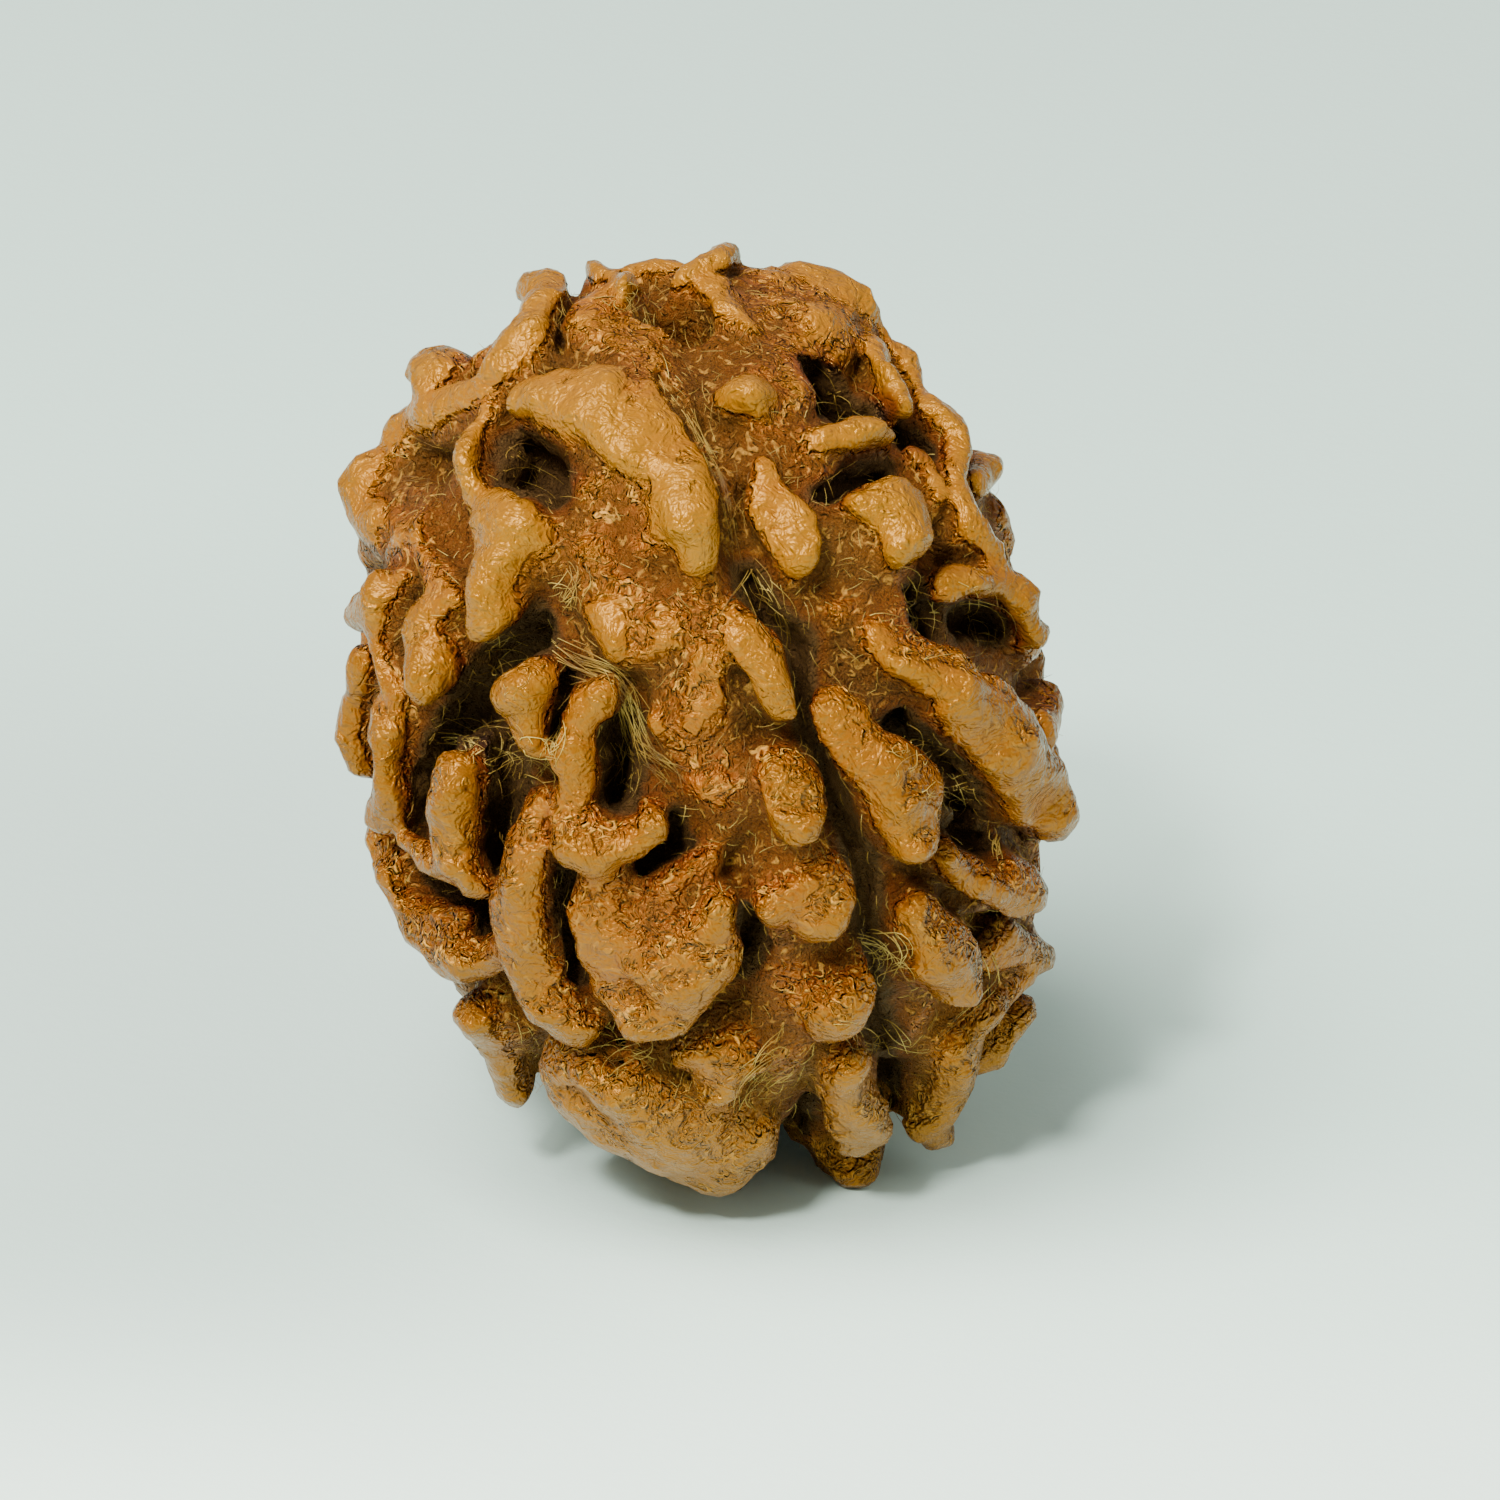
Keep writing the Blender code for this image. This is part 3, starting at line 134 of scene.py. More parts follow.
# Ridges and knobs: name, rise of the first point, rise of the last, points (across, up, radius)
FRONT_RIDGES = (
    ("horn and shoulder ridge", 1.0, 0.9, (
        (-5.85, 13.05, 0.5), (-6.0, 12.2, 0.66), (-6.7, 11.2, 0.64), (-7.6, 10.4, 0.54),
        (-8.6, 9.85, 0.52), (-9.5, 9.45, 0.52), (-10.0, 9.15, 0.44))),
    ("branch under the horn", 0.7, 0.9, (
        (-7.5, 9.6, 0.34), (-7.8, 9.0, 0.38), (-8.05, 8.2, 0.44), (-7.8, 7.4, 0.56))),
    ("lobe behind the horn", 0.9, 0.9, ((-9.15, 11.0, 0.68), (-8.5, 10.5, 0.8))),
    ("left rim lobe", 0.9, 0.9, ((-10.6, 7.3, 0.95), (-10.5, 6.5, 0.95))),
    ("lobe above the left pit", 0.7, 1.1, (
        (-6.0, 10.05, 0.75), (-5.4, 10.05, 0.95), (-4.4, 9.5, 1.05), (-3.5, 8.6, 0.9))),
    ("low bump below the left pit", 0.3, 0.3, ((-3.9, 7.3, 0.5), (-3.6, 7.0, 0.45))),
    ("left knob", 0.9, 1.3, ((-7.1, 6.9, 0.8), (-6.95, 6.1, 1.08), (-7.25, 4.9, 0.84), (-7.7, 3.8, 0.6))),
    ("left knob's side", 0.7, 0.2, ((-6.7, 6.2, 0.8), (-5.9, 5.75, 0.65), (-5.4, 5.3, 0.45))),
    ("left small ridge", 0.3, 0.6, ((-9.3, 6.4, 0.36), (-8.9, 5.4, 0.42), (-8.5, 4.5, 0.44))),
    ("left rim knob", 1.0, 1.0, ((-10.95, 4.1, 0.75), (-10.4, 4.25, 0.8))),
    ("left rim ridge", 1.0, 1.0, ((-10.95, 2.4, 0.52), (-11.1, 1.3, 0.6), (-11.1, 0.0, 0.6))),
    ("left thin ridge", 0.8, 0.9, (
        (-9.75, 5.0, 0.34), (-10.2, 4.2, 0.36), (-10.5, 3.4, 0.36), (-10.35, 2.6, 0.36),
        (-10.15, 1.9, 0.36))),
    ("left finger", 0.9, 1.3, ((-8.95, 3.8, 0.46), (-9.27, 2.7, 0.58), (-9.32, 1.8, 0.62))),
    ("left upright ridge", 1.0, 1.0, (
        (-10.3, 1.1, 0.5), (-10.35, 0.2, 0.58), (-10.3, -0.8, 0.58), (-10.35, -1.8, 0.54))),
    ("lower left loop", 1.0, 1.0, (
        (-10.6, -2.4, 0.48), (-10.0, -3.65, 0.7), (-9.25, -4.95, 0.85), (-8.7, -5.55, 0.82),
        (-7.95, -5.75, 0.68), (-7.2, -5.85, 0.55), (-6.5, -5.6, 0.55))),
    ("ridge inside the loop", 1.0, 1.2, (
        (-8.32, -0.35, 0.6), (-8.42, -1.4, 0.78), (-8.5, -2.5, 0.84), (-8.05, -3.6, 0.58))),
    ("long left ridge", 1.0, 1.2, (
        (-6.05, -1.6, 0.45), (-6.45, -2.8, 0.74), (-6.52, -4.1, 0.92), (-6.45, -5.4, 0.8),
        (-5.95, -6.6, 0.76), (-5.2, -7.7, 0.92))),
    ("hanging knob", 1.0, 1.0, ((-7.6, -7.3, 0.7), (-7.2, -8.3, 0.74), (-6.65, -9.3, 0.68))),
    ("round knob", 1.1, 1.1, ((-6.35, 1.7, 0.7), (-6.35, 1.25, 0.78), (-6.25, 0.75, 0.68))),
    ("hooked ridge", 0.9, 1.0, (
        (-4.65, 1.55, 0.5), (-4.8, 0.6, 0.48), (-4.95, -0.6, 0.55), (-5.15, -1.8, 0.66),
        (-4.9, -2.4, 0.72), (-4.15, -2.7, 0.68), (-3.4, -2.6, 0.62), (-3.1, -2.15, 0.48))),
    ("curled lobe", 0.9, 1.1, (
        (-4.3, -3.2, 0.58), (-4.2, -4.8, 0.66), (-3.9, -6.2, 0.75), (-3.1, -7.0, 0.98), (-1.9, -6.7, 0.98),
        (-1.15, -5.6, 0.84), (-1.0, -4.6, 0.62))),
    ("band in the curl", 0.5, 0.6, ((-1.3, -3.2, 0.4), (-2.3, -4.05, 0.52), (-3.3, -4.9, 0.55))),
    ("centre lobe", 0.6, 1.3, (
        (-2.9, 9.3, 0.9), (-2.5, 8.4, 1.0), (-2.1, 7.3, 1.08), (-1.75, 6.5, 1.05), (-1.4, 5.85, 0.85))),
    ("centre lobe's side", 0.7, 0.8, ((-2.6, 6.7, 0.5), (-2.5, 5.9, 0.42))),
    ("knob under the bore", 0.7, 0.4, ((-0.2, 10.1, 0.7), (0.1, 9.5, 0.5))),
    ("ridge right of the seam", 0.5, 0.8, (
        (0.35, 7.35, 0.45), (0.8, 6.7, 0.55), (1.12, 6.0, 0.52), (1.3, 5.35, 0.38))),
    ("leaf-shaped lobe", 0.7, 1.2, ((-0.4, 3.5, 0.5), (0.2, 2.7, 0.68), (0.65, 1.9, 0.68), (0.9, 1.3, 0.56))),
    ("small knob", 0.8, 0.9, ((-4.15, 3.9, 0.55), (-3.98, 3.4, 0.58))),
    ("tiny knob", 0.4, 0.5, ((-2.62, 1.3, 0.26), (-2.6, 0.85, 0.3))),
    ("low bumps by the arch", -0.1, -0.1, ((2.3, 3.7, 0.5), (3.0, 4.4, 0.5))),
    ("egg-shaped knob", 0.8, 1.3, ((0.8, -0.75, 0.55), (1.2, -1.25, 0.86), (1.6, -1.9, 0.56))),
    ("double knob", 0.8, 1.1, ((1.5, -3.7, 0.62), (2.2, -4.5, 0.76))),
    ("double knob's twin", 0.8, 0.8, ((1.25, -4.0, 0.5), (0.72, -4.5, 0.46))),
    ("shelf under the double knob", 0.0, 0.0, ((1.5, -5.2, 0.4), (2.8, -5.5, 0.4))),
    ("round lower knob", 0.6, 1.0, ((1.75, -6.8, 0.66), (2.35, -7.18, 1.1), (2.9, -6.95, 0.82))),
    ("three-cornered knob's top", 0.8, 0.8, ((-1.62, -8.55, 0.58), (-0.22, -8.45, 0.6))),
    ("three-cornered knob", 0.8, 1.3, ((-0.85, -8.62, 0.92), (-0.78, -9.6, 0.64))),
    ("big bottom lobe", 0.9, 0.9, (
        (-5.25, -8.9, 0.78), (-4.75, -9.72, 0.96), (-3.3, -10.42, 1.12), (-1.9, -11.05, 1.25),
        (-0.75, -11.28, 1.25), (-0.15, -10.6, 0.92))),
    ("lower right knob", 0.9, 1.3, ((2.7, -8.9, 0.82), (3.0, -10.1, 0.84), (3.18, -10.98, 0.72))),
    ("knob under it", 0.6, 0.6, ((2.6, -11.4, 0.7), (3.0, -11.75, 0.82))),
    ("forked ridge", 1.0, 1.2, (
        (8.15, -5.95, 0.5), (7.2, -6.8, 0.62), (6.15, -8.2, 0.84), (5.45, -9.5, 0.98), (5.12, -10.72, 0.86))),
    ("lobe behind the fork", 0.7, 0.7, ((7.6, -7.4, 0.6), (6.9, -8.4, 0.7))),
    ("long right lobe", 0.9, 1.4, (
        (4.7, -4.6, 0.5), (5.3, -5.2, 0.78), (5.75, -6.0, 0.86), (5.9, -6.7, 0.68))),
    ("low bump under it", -0.3, -0.3, ((4.6, -7.0, 0.45), (4.8, -7.6, 0.45))),
    ("right finger", 0.9, 1.2, ((5.6, -3.1, 0.4), (6.4, -3.8, 0.5), (7.3, -4.25, 0.52), (7.85, -4.4, 0.5))),
    ("knob behind the finger", 0.8, 0.8, ((7.8, -3.9, 0.75), (7.2, -3.6, 0.65))),
    ("ridge beside the groove", 0.7, 1.3, (
        (2.15, 0.9, 0.34), (2.85, 0.0, 0.48), (3.5, -0.85, 0.64), (4.15, -1.65, 0.86), (4.6, -2.3, 0.8))),
    ("wing", 0.8, 1.4, (
        (3.8, 2.9, 0.46), (4.8, 2.3, 0.72), (6.0, 1.55, 0.9), (7.1, 0.65, 0.98), (7.85, -0.4, 0.9),
        (8.5, -1.6, 0.68), (8.8, -2.15, 0.48))),
    ("lobe behind the wing", 0.7, 0.7, ((8.5, 1.1, 0.58), (8.2, 0.5, 0.6))),
    ("arch", 0.8, 1.1, (
        (5.6, 4.4, 0.38), (6.3, 4.8, 0.42), (7.0, 4.7, 0.46), (7.6, 4.2, 0.56), (8.0, 3.65, 0.5))),
    ("right knob", 0.9, 1.3, ((3.35, 6.7, 0.6), (4.2, 6.65, 0.88), (4.5, 6.1, 0.8), (4.35, 5.65, 0.5))),
    ("bar under the right pit", 0.7, 0.8, ((2.1, 9.05, 0.34), (3.0, 9.02, 0.42), (3.85, 8.98, 0.36))),
    ("rim of the right pit", 0.7, 0.9, (
        (1.7, 12.6, 0.7), (2.85, 12.2, 0.55), (3.55, 11.35, 0.42), (4.0, 10.5, 0.38), (4.25, 9.9, 0.3))),
    ("dome beside the bore", 0.6, 0.6, ((-0.1, 13.4, 0.5), (0.9, 12.9, 0.9), (2.2, 12.6, 1.0))),
    ("outer right ridge", 0.8, 0.9, (
        (3.12, 12.42, 0.52), (3.75, 11.68, 0.46), (4.24, 11.03, 0.46), (4.8, 10.35, 0.44),
        (5.28, 9.45, 0.44), (5.76, 8.55, 0.44), (6.02, 7.4, 0.44), (6.16, 6.5, 0.44), (6.75, 5.6, 0.42))),
    ("small right ridge", 0.4, 0.6, ((4.7, 8.2, 0.28), (5.1, 7.9, 0.3), (5.35, 7.3, 0.3))),
    ("rim knob behind it", 0.8, 0.8, ((6.6, 8.0, 0.6), (6.45, 7.6, 0.5))),
    ("back rim of the bore", 0.8, 0.8, ((-4.42, 13.9, 0.34), (-3.95, 13.35, 0.4), (-3.35, 12.85, 0.34))),
    ("wrinkled lobe", 0.5, 0.5, ((-4.6, 12.7, 0.45), (-4.2, 12.2, 0.5))),
    ("top knob", 0.9, 0.7, ((-0.7, 14.22, 0.44), (-1.35, 13.55, 0.54), (-1.9, 13.2, 0.48))),
    ("knob beside the bore", 0.6, 0.5, ((-0.95, 13.0, 0.5), (-0.6, 12.5, 0.5))),
    ("lobe behind the bore", 0.5, 0.5, ((-3.3, 13.5, 0.52), (-2.2, 13.5, 0.52))),
)

# Swells: broad low mounds that carry the ridges. Name, rise of the middle, points (across, up, radius)
FRONT_SWELLS = (
    ("upper left swell", -0.3, ((-9.2, 8.4, 1.4), (-9.2, 7.2, 1.5), (-9.0, 5.8, 1.4), (-9.2, 4.9, 1.0))),
    ("shoulder swell", -0.9, ((-6.2, 10.3, 1.3), (-4.2, 11.0, 1.9), (-2.9, 9.4, 1.8), (-2.5, 7.4, 1.6))),
    ("swell below the left pit", -0.2, (
        (-3.2, 8.2, 1.2), (-3.9, 7.2, 1.25), (-4.0, 6.2, 1.25), (-5.0, 5.8, 1.15))),
    ("top swell", -0.6, ((-3.9, 12.5, 1.1), (-3.5, 11.7, 1.3))),
    ("dome swell", -0.8, ((-0.3, 11.4, 1.6), (1.6, 12.1, 1.7), (0.4, 9.6, 1.5), (0.0, 8.7, 1.3))),
    ("swell right of the seam", -0.8, ((0.9, 8.6, 1.3), (1.6, 6.9, 1.4), (2.6, 5.4, 1.4))),
    ("centre swell", -0.6, (
        (-5.2, 5.4, 1.3), (-3.6, 4.6, 1.6), (-2.2, 3.2, 1.75), (-1.5, 1.6, 1.6), (-1.1, 0.0, 1.45),
        (-0.8, -1.6, 1.3))),
    ("swell in the curl", 0.6, ((-3.6, -4.3, 0.9), (-2.9, -5.7, 1.35), (-2.0, -5.3, 1.25))),
    ("lower middle swell", -0.35, (
        (0.6, -2.6, 1.2), (1.2, -4.6, 1.2), (1.0, -6.4, 1.35), (0.5, -8.0, 1.35), (0.6, -9.4, 1.05))),
    ("right swell", -0.5, ((3.6, 4.6, 1.2), (3.3, 3.0, 1.2), (3.2, 1.6, 1.0))),
    ("outer right swell", -0.7, ((4.8, 9.6, 0.8), (5.5, 7.8, 0.8), (5.9, 6.4, 0.8))),
    ("bottom swell", 0.6, ((-4.9, -8.7, 1.0), (-3.2, -9.0, 1.35), (-2.2, -9.9, 1.4), (-1.2, -10.0, 1.4))),
    ("lower right swell", -0.5, ((6.3, -7.6, 1.1), (5.4, -9.0, 1.1), (4.7, -9.8, 1.0))),
    ("swell beside the lower groove", -0.5, (
        (4.7, -3.6, 0.9), (4.4, -5.2, 0.9), (4.6, -7.0, 1.05), (5.0, -8.2, 1.05))),
)

# Pits: name, depth of the floor below the core, points (across, up, radius)
FRONT_PITS = (
    ("left pit", 1.7, ((-6.85, 8.9, 0.36), (-6.5, 8.15, 0.66), (-5.6, 7.45, 0.52))),
    ("right pit", 2.2, ((2.0, 10.95, 0.5), (2.32, 10.52, 0.8), (2.95, 10.12, 0.7), (3.62, 9.8, 0.36))),
    ("right slot", 1.0, ((2.15, 7.25, 0.28), (3.05, 7.68, 0.36), (4.1, 8.12, 0.28))),
    ("slot beside it", 0.8, ((4.55, 9.6, 0.26), (4.85, 9.0, 0.28), (5.25, 8.45, 0.24))),
    ("pit under the arch", 0.7, ((6.3, 3.75, 0.42), (7.2, 3.6, 0.4))),
    ("pit left of the arch", 1.0, ((4.75, 4.7, 0.36), (4.95, 4.0, 0.42), (5.5, 3.5, 0.4))),
    ("pit under the wing", 1.3, (
        (4.45, 0.9, 0.34), (5.1, 0.25, 0.44), (5.75, -0.6, 0.46), (6.35, -1.4, 0.42), (6.9, -1.95, 0.3))),
    ("pit above the finger", 0.7, ((6.2, -2.5, 0.36), (6.9, -2.85, 0.34))),
    ("great left pit", 1.6, (
        (-6.2, 3.35, 0.55), (-7.4, 2.4, 0.75), (-8.0, 1.2, 0.66), (-9.05, 0.4, 0.48), (-9.45, -0.9, 0.3),
        (-9.6, -2.0, 0.24))),
    ("great left pit's tail", 1.2, (
        (-7.5, 1.0, 0.56), (-7.25, 0.0, 0.48), (-7.0, -0.9, 0.4), (-7.3, -2.2, 0.24), (-7.6, -3.4, 0.18))),
    ("crescent in the loop", 0.8, (
        (-9.35, -3.4, 0.2), (-8.95, -4.15, 0.27), (-8.1, -4.65, 0.27), (-7.25, -5.3, 0.2))),
    ("slot beside the long ridge", 0.9, ((-5.3, -3.4, 0.22), (-5.22, -4.9, 0.28), (-5.05, -6.2, 0.26))),
    ("gap beside the round knob", 0.3, ((-5.5, 1.9, 0.14), (-5.42, 1.0, 0.14), (-5.65, 0.1, 0.14))),
    ("pit in the hook", 1.2, ((-3.8, 0.6, 0.4), (-3.75, -0.6, 0.46), (-3.95, -1.5, 0.34))),
    ("crescent under the hook", 0.7, (
        (-2.4, -1.9, 0.24), (-2.3, -2.8, 0.27), (-2.8, -3.55, 0.2), (-3.3, -4.05, 0.14))),
    ("slot beside the curl", 0.9, ((0.05, -4.6, 0.28), (0.05, -5.4, 0.32), (-0.4, -6.3, 0.24))),
    ("gap under the curl", 0.3, ((-3.75, -8.55, 0.16), (-3.1, -8.7, 0.18))),
    ("gap by the lower right knob", 0.6, ((4.05, -9.0, 0.24), (4.1, -10.2, 0.26))),
    ("gap beside the bottom lobe", 0.8, ((1.45, -10.4, 0.3), (1.5, -11.2, 0.34))),
)

# Seam lines: name, depth below the core, points (across, up, radius)
FRONT_SEAMS = (
    ("fine upper seam", -0.5, (
        (-2.5, 10.5, 0.18), (-2.0, 9.8, 0.2), (-1.6, 9.1, 0.2), (-1.2, 8.3, 0.2), (-0.85, 7.5, 0.2),
        (-0.65, 6.5, 0.22), (-0.4, 5.4, 0.26))),
    ("central groove", 0.8, (
        (0.0, 4.9, 0.26), (0.6, 4.0, 0.32), (1.2, 3.1, 0.33), (1.55, 2.0, 0.3), (1.7, 1.1, 0.27),
        (2.15, -0.2, 0.27), (2.65, -1.5, 0.28), (3.0, -2.7, 0.28))),
    ("lower groove", 0.4, (
        (3.0, -2.7, 0.26), (3.4, -4.3, 0.28), (3.45, -5.6, 0.27), (3.8, -7.0, 0.26), (4.0, -8.5, 0.26))),
    ("seam beside the horn", -0.3, ((-5.15, 13.1, 0.2), (-5.15, 12.3, 0.2), (-5.3, 11.5, 0.18))),
)

# Feet on the underside, round the weight: place (x, y) from under the seed's middle, and radius
FEET = ((0.25, -3.30, 1.05), (4.2, -2.4, 0.95), (3.4, 3.6, 1.10), (-3.6, 2.6, 0.90))
FOOT_SINK = 0.42  # how far a foot reaches below the floor before it is cut flat
FOOT_LENGTH = 2.4
FOOT_FLARE = 1.7
FOOT_LEAN = 0.3  # a foot's top stands nearer the axis than its tip by this share
FLOOR_CLEARANCE = 0.4  # what is no foot stays this far above the floor

elevation = math.radians(VIEW_ELEVATION_DEGREES)
VIEW_RIGHT = Vector((1.0, 0.0, 0.0))
VIEW_UP = Vector((0.0, math.sin(elevation), math.cos(elevation)))
VIEW_FORWARD = Vector((0.0, math.cos(elevation), -math.sin(elevation)))
LEAN = Matrix.Rotation(math.radians(-LEAN_DEGREES), 3, "Y")


def in_view(across, up):
    """The point of the front view's plane, which runs through the middle of the seed."""
    return CENTRE + VIEW_RIGHT * (across - CENTRE_IN_VIEW[0]) + VIEW_UP * (up - CENTRE_IN_VIEW[1])


EYE = in_view(0.0, 0.0) - VIEW_FORWARD * EYE_DISTANCE


def egg_axes(rise):
    """Half the egg's width, depth and length at a rise above the core."""
    return Vector((CORE_RADIUS + rise, CORE_RADIUS + rise, CORE_HALF_LENGTH + rise))


def to_egg(point, rise):
    """A point in the frame where the egg at this rise is the unit sphere."""
    local = LEAN.transposed() @ (point - CENTRE)
    axes = egg_axes(rise)
    return Vector((local.x / axes.x, local.y / axes.y, local.z / axes.z))


def from_egg(unit, rise):
    axes = egg_axes(rise)
    return CENTRE + LEAN @ Vector((unit.x * axes.x, unit.y * axes.y, unit.z * axes.z))


def on_sight(across, up, rise):
    """Where the line of sight through a front-view point meets the egg at a rise, or passes it closest."""
    start = to_egg(EYE, rise)
    along = (to_egg(in_view(across, up), rise) - start).normalized()
    middle = -start.dot(along)
    spare = 1.0 - (start + along * middle).length_squared
    return from_egg(start + along * (middle - math.sqrt(max(spare, 0.0))), rise)


def by_turn(turn_degrees, latitude_degrees, rise):
    """A point by its turn from the viewer's side towards +X and its latitude on the egg."""
    turn = math.radians(turn_degrees)
    latitude = math.radians(latitude_degrees)
    flat = math.cos(latitude)
    return from_egg(Vector((flat * math.sin(turn), -flat * math.cos(turn), math.sin(latitude))), rise)


def root_of(point):
    """The point nearer the core that a crest point grows from."""
    core_point = from_egg(to_egg(point, 0.0).normalized(), 0.0)
    return core_point.lerp(point, ROOT_RISE_SHARE)


def smooth_chain(chain, step=CHAIN_STEP):
    """A chain of (point, radius), resampled from a smooth curve through its points."""
    if len(chain) == 2:
        (start, first), (end, last) = chain
        count = max(1, round((end - start).length / step))
        return [(start.lerp(end, i / count), first + (last - first) * i / count) for i in range(count + 1)]
    smooth = []
    for i in range(len(chain) - 1):
        before, start = chain[max(i - 1, 0)], chain[i]
        end, after = chain[i + 1], chain[min(i + 2, len(chain) - 1)]
        count = max(1, round((end[0] - start[0]).length / step))
        for j in range(count):
            t = j / count
            weights = (
                0.5 * (-t + 2 * t**2 - t**3), 0.5 * (2 - 5 * t**2 + 3 * t**3),
                0.5 * (t + 4 * t**2 - 3 * t**3), 0.5 * (t**3 - t**2))
            near = (before, start, end, after)
            point = sum((w * k[0] for w, k in zip(weights, near)), Vector())
            smooth.append((point, sum(w * k[1] for w, k in zip(weights, near))))
    return smooth + [chain[-1]]


def front_crests():
    """The crest of every ridge of the front view."""
    crests = []
    for _name, first_rise, last_rise, points in FRONT_RIDGES:
        last = len(points) - 1
        crests.append([
            (on_sight(across, up, first_rise + (last_rise - first_rise) * i / last), radius)
            for i, (across, up, radius) in enumerate(points)])
    return crests


def front_masses(table):
    """The swells or fillings of the front view."""
    return [
        [(on_sight(across, up, rise), radius) for across, up, radius in points]
        for _name, rise, points in table]


def front_pit_chains(pits, mouth_rise):
    """Every pit or seam as chains one below the other, from above its mouth down to its floor."""
    chains = []
    for _name, depth, points in pits:
        whole = mouth_rise + depth
        mouth = [(on_sight(across, up, mouth_rise), radius) for across, up, radius in points]
        thinnest = min(radius for _point, radius in mouth)
        levels = 1 + math.ceil(whole / thinnest)
        depths = [(-PIT_LIP, PIT_LIP_WIDTH)]
        for i in range(levels):
            share = i / (levels - 1)
            depths.append((whole * share, 1.0 + (PIT_FLOOR_WIDTH - 1.0) * share**2))
        for deep, width in depths:
            chains.append([(point + into_pit(point) * deep, radius * width) for point, radius in mouth])
    return chains


def outward(point):
    """The direction away from the core at a point."""
    unit = to_egg(point, 0.0)
    axes = egg_axes(0.0)
    return (LEAN @ Vector((unit.x / axes.x, unit.y / axes.y, unit.z / axes.z))).normalized()


def into_pit(point):
    """Half way between straight in and along the line of sight, so that the eye sees down a pit."""
    return ((point - EYE).normalized() - outward(point)).normalized()


def facing(point):
    """How far the surface turns towards the eye: 1 straight at it, 0 on the rim, under 0 hidden."""
    return outward(point).dot((EYE - point).normalized())


def past_outline(point):
    """How far outside the core's outline the eye sees a point; below zero inside it."""
    start = to_egg(EYE, 0.0)
    along = (to_egg(point, 0.0) - start).normalized()
    nearest = (start - along * start.dot(along)).length
    return (nearest - 1.0) * CORE_RADIUS


def hidden_rise(surface, rise, radius):
    """The rise, or as much less as keeps a hidden ridge out of the front view and off the floor."""
    away = outward(surface)
    while rise > LOWEST_DROP:
        point = surface + away * rise
        if past_outline(point) + radius < RIM_ALLOWANCE and point.z - radius > FLOOR_CLEARANCE:
            break
        rise -= RIM_STEP
    return rise


def hidden_drop(draw, turn, latitude, size):
    """One drop of the hidden side: a chain that hangs down the seed and thickens to its tip."""
    length = draw.uniform(*DROP_LENGTH) * size
    drift = draw.uniform(-DROP_DRIFT, DROP_DRIFT)
    bend = draw.uniform(-DROP_BEND, DROP_BEND)
    base = draw.uniform(*DROP_BASE_RADIUS) * size
    tip = draw.uniform(*DROP_TIP_RADIUS) * size
    lift = draw.uniform(*DROP_RISE)
    chain = []
    for i in range(DROP_STEPS + 1):
        share = i / DROP_STEPS
        level = latitude - math.degrees(length * share / CORE_HALF_LENGTH)
        sideways = drift * share + bend * math.sin(math.pi * share)
        flat = max(math.cos(math.radians(level)), POLE_FLATNESS)
        around = turn + math.degrees(sideways / (CORE_RADIUS * flat))
        radius = base + (tip - base) * math.sin(math.pi / 2 * share)
        surface = by_turn(around, level, 0.0)
        rise = hidden_rise(surface, lift * (DROP_FIRST_RISE + DROP_GAIN * share), radius)
        if rise <= LOWEST_DROP:
            return None
        chain.append((surface + outward(surface) * rise, radius))
    return chain


def is_hidden(crest):
    return all(facing(point) < SEEN_FACING for point, _radius in crest)


def runs_into(crest, knots):
    return any(
        (point - knot).length < DROP_CLEARANCE * (radius + girth)
        for point, radius in crest for knot, girth in knots)


def hidden_crests(front):
    """Rows of drops in every face, where the front view shows nothing and clear of its ridges."""
    draw = random.Random(HIDDEN_SEED)
    knots = [pair for crest in front for pair in smooth_chain(crest)]
    crests = []
    face_turn = 360.0 / FACES
    for face in range(FACES):
        seam = FIRST_SEAM_DEGREES + face * face_turn
        for row in range(ROWS):
            latitude = TOP_ROW_LATITUDE * (1.0 - 2.0 * (row + 0.5) / ROWS)
            width = math.radians(face_turn) * CORE_RADIUS * math.cos(math.radians(latitude))
            count = max(1, round(width / DROP_SPACING))
            for k in range(count):
                stray = draw.uniform(-DROP_SPREAD, DROP_SPREAD)
                share = (k + 0.5 + stray + ROW_SHIFT * (row % 2) - ROW_START) / count
                level = latitude + draw.uniform(-ROW_STRAY_DEGREES, ROW_STRAY_DEGREES)
                size = draw.uniform(*DROP_SCALE) * (1.0 if count > 1 else LONE_DROP_SCALE)
                for scale in DROP_SIZES:
                    crest = hidden_drop(draw, seam + share * face_turn, level, size * scale)
                    if crest and is_hidden(crest) and not runs_into(crest, knots):
                        crests.append(crest)
                        break
    return crests


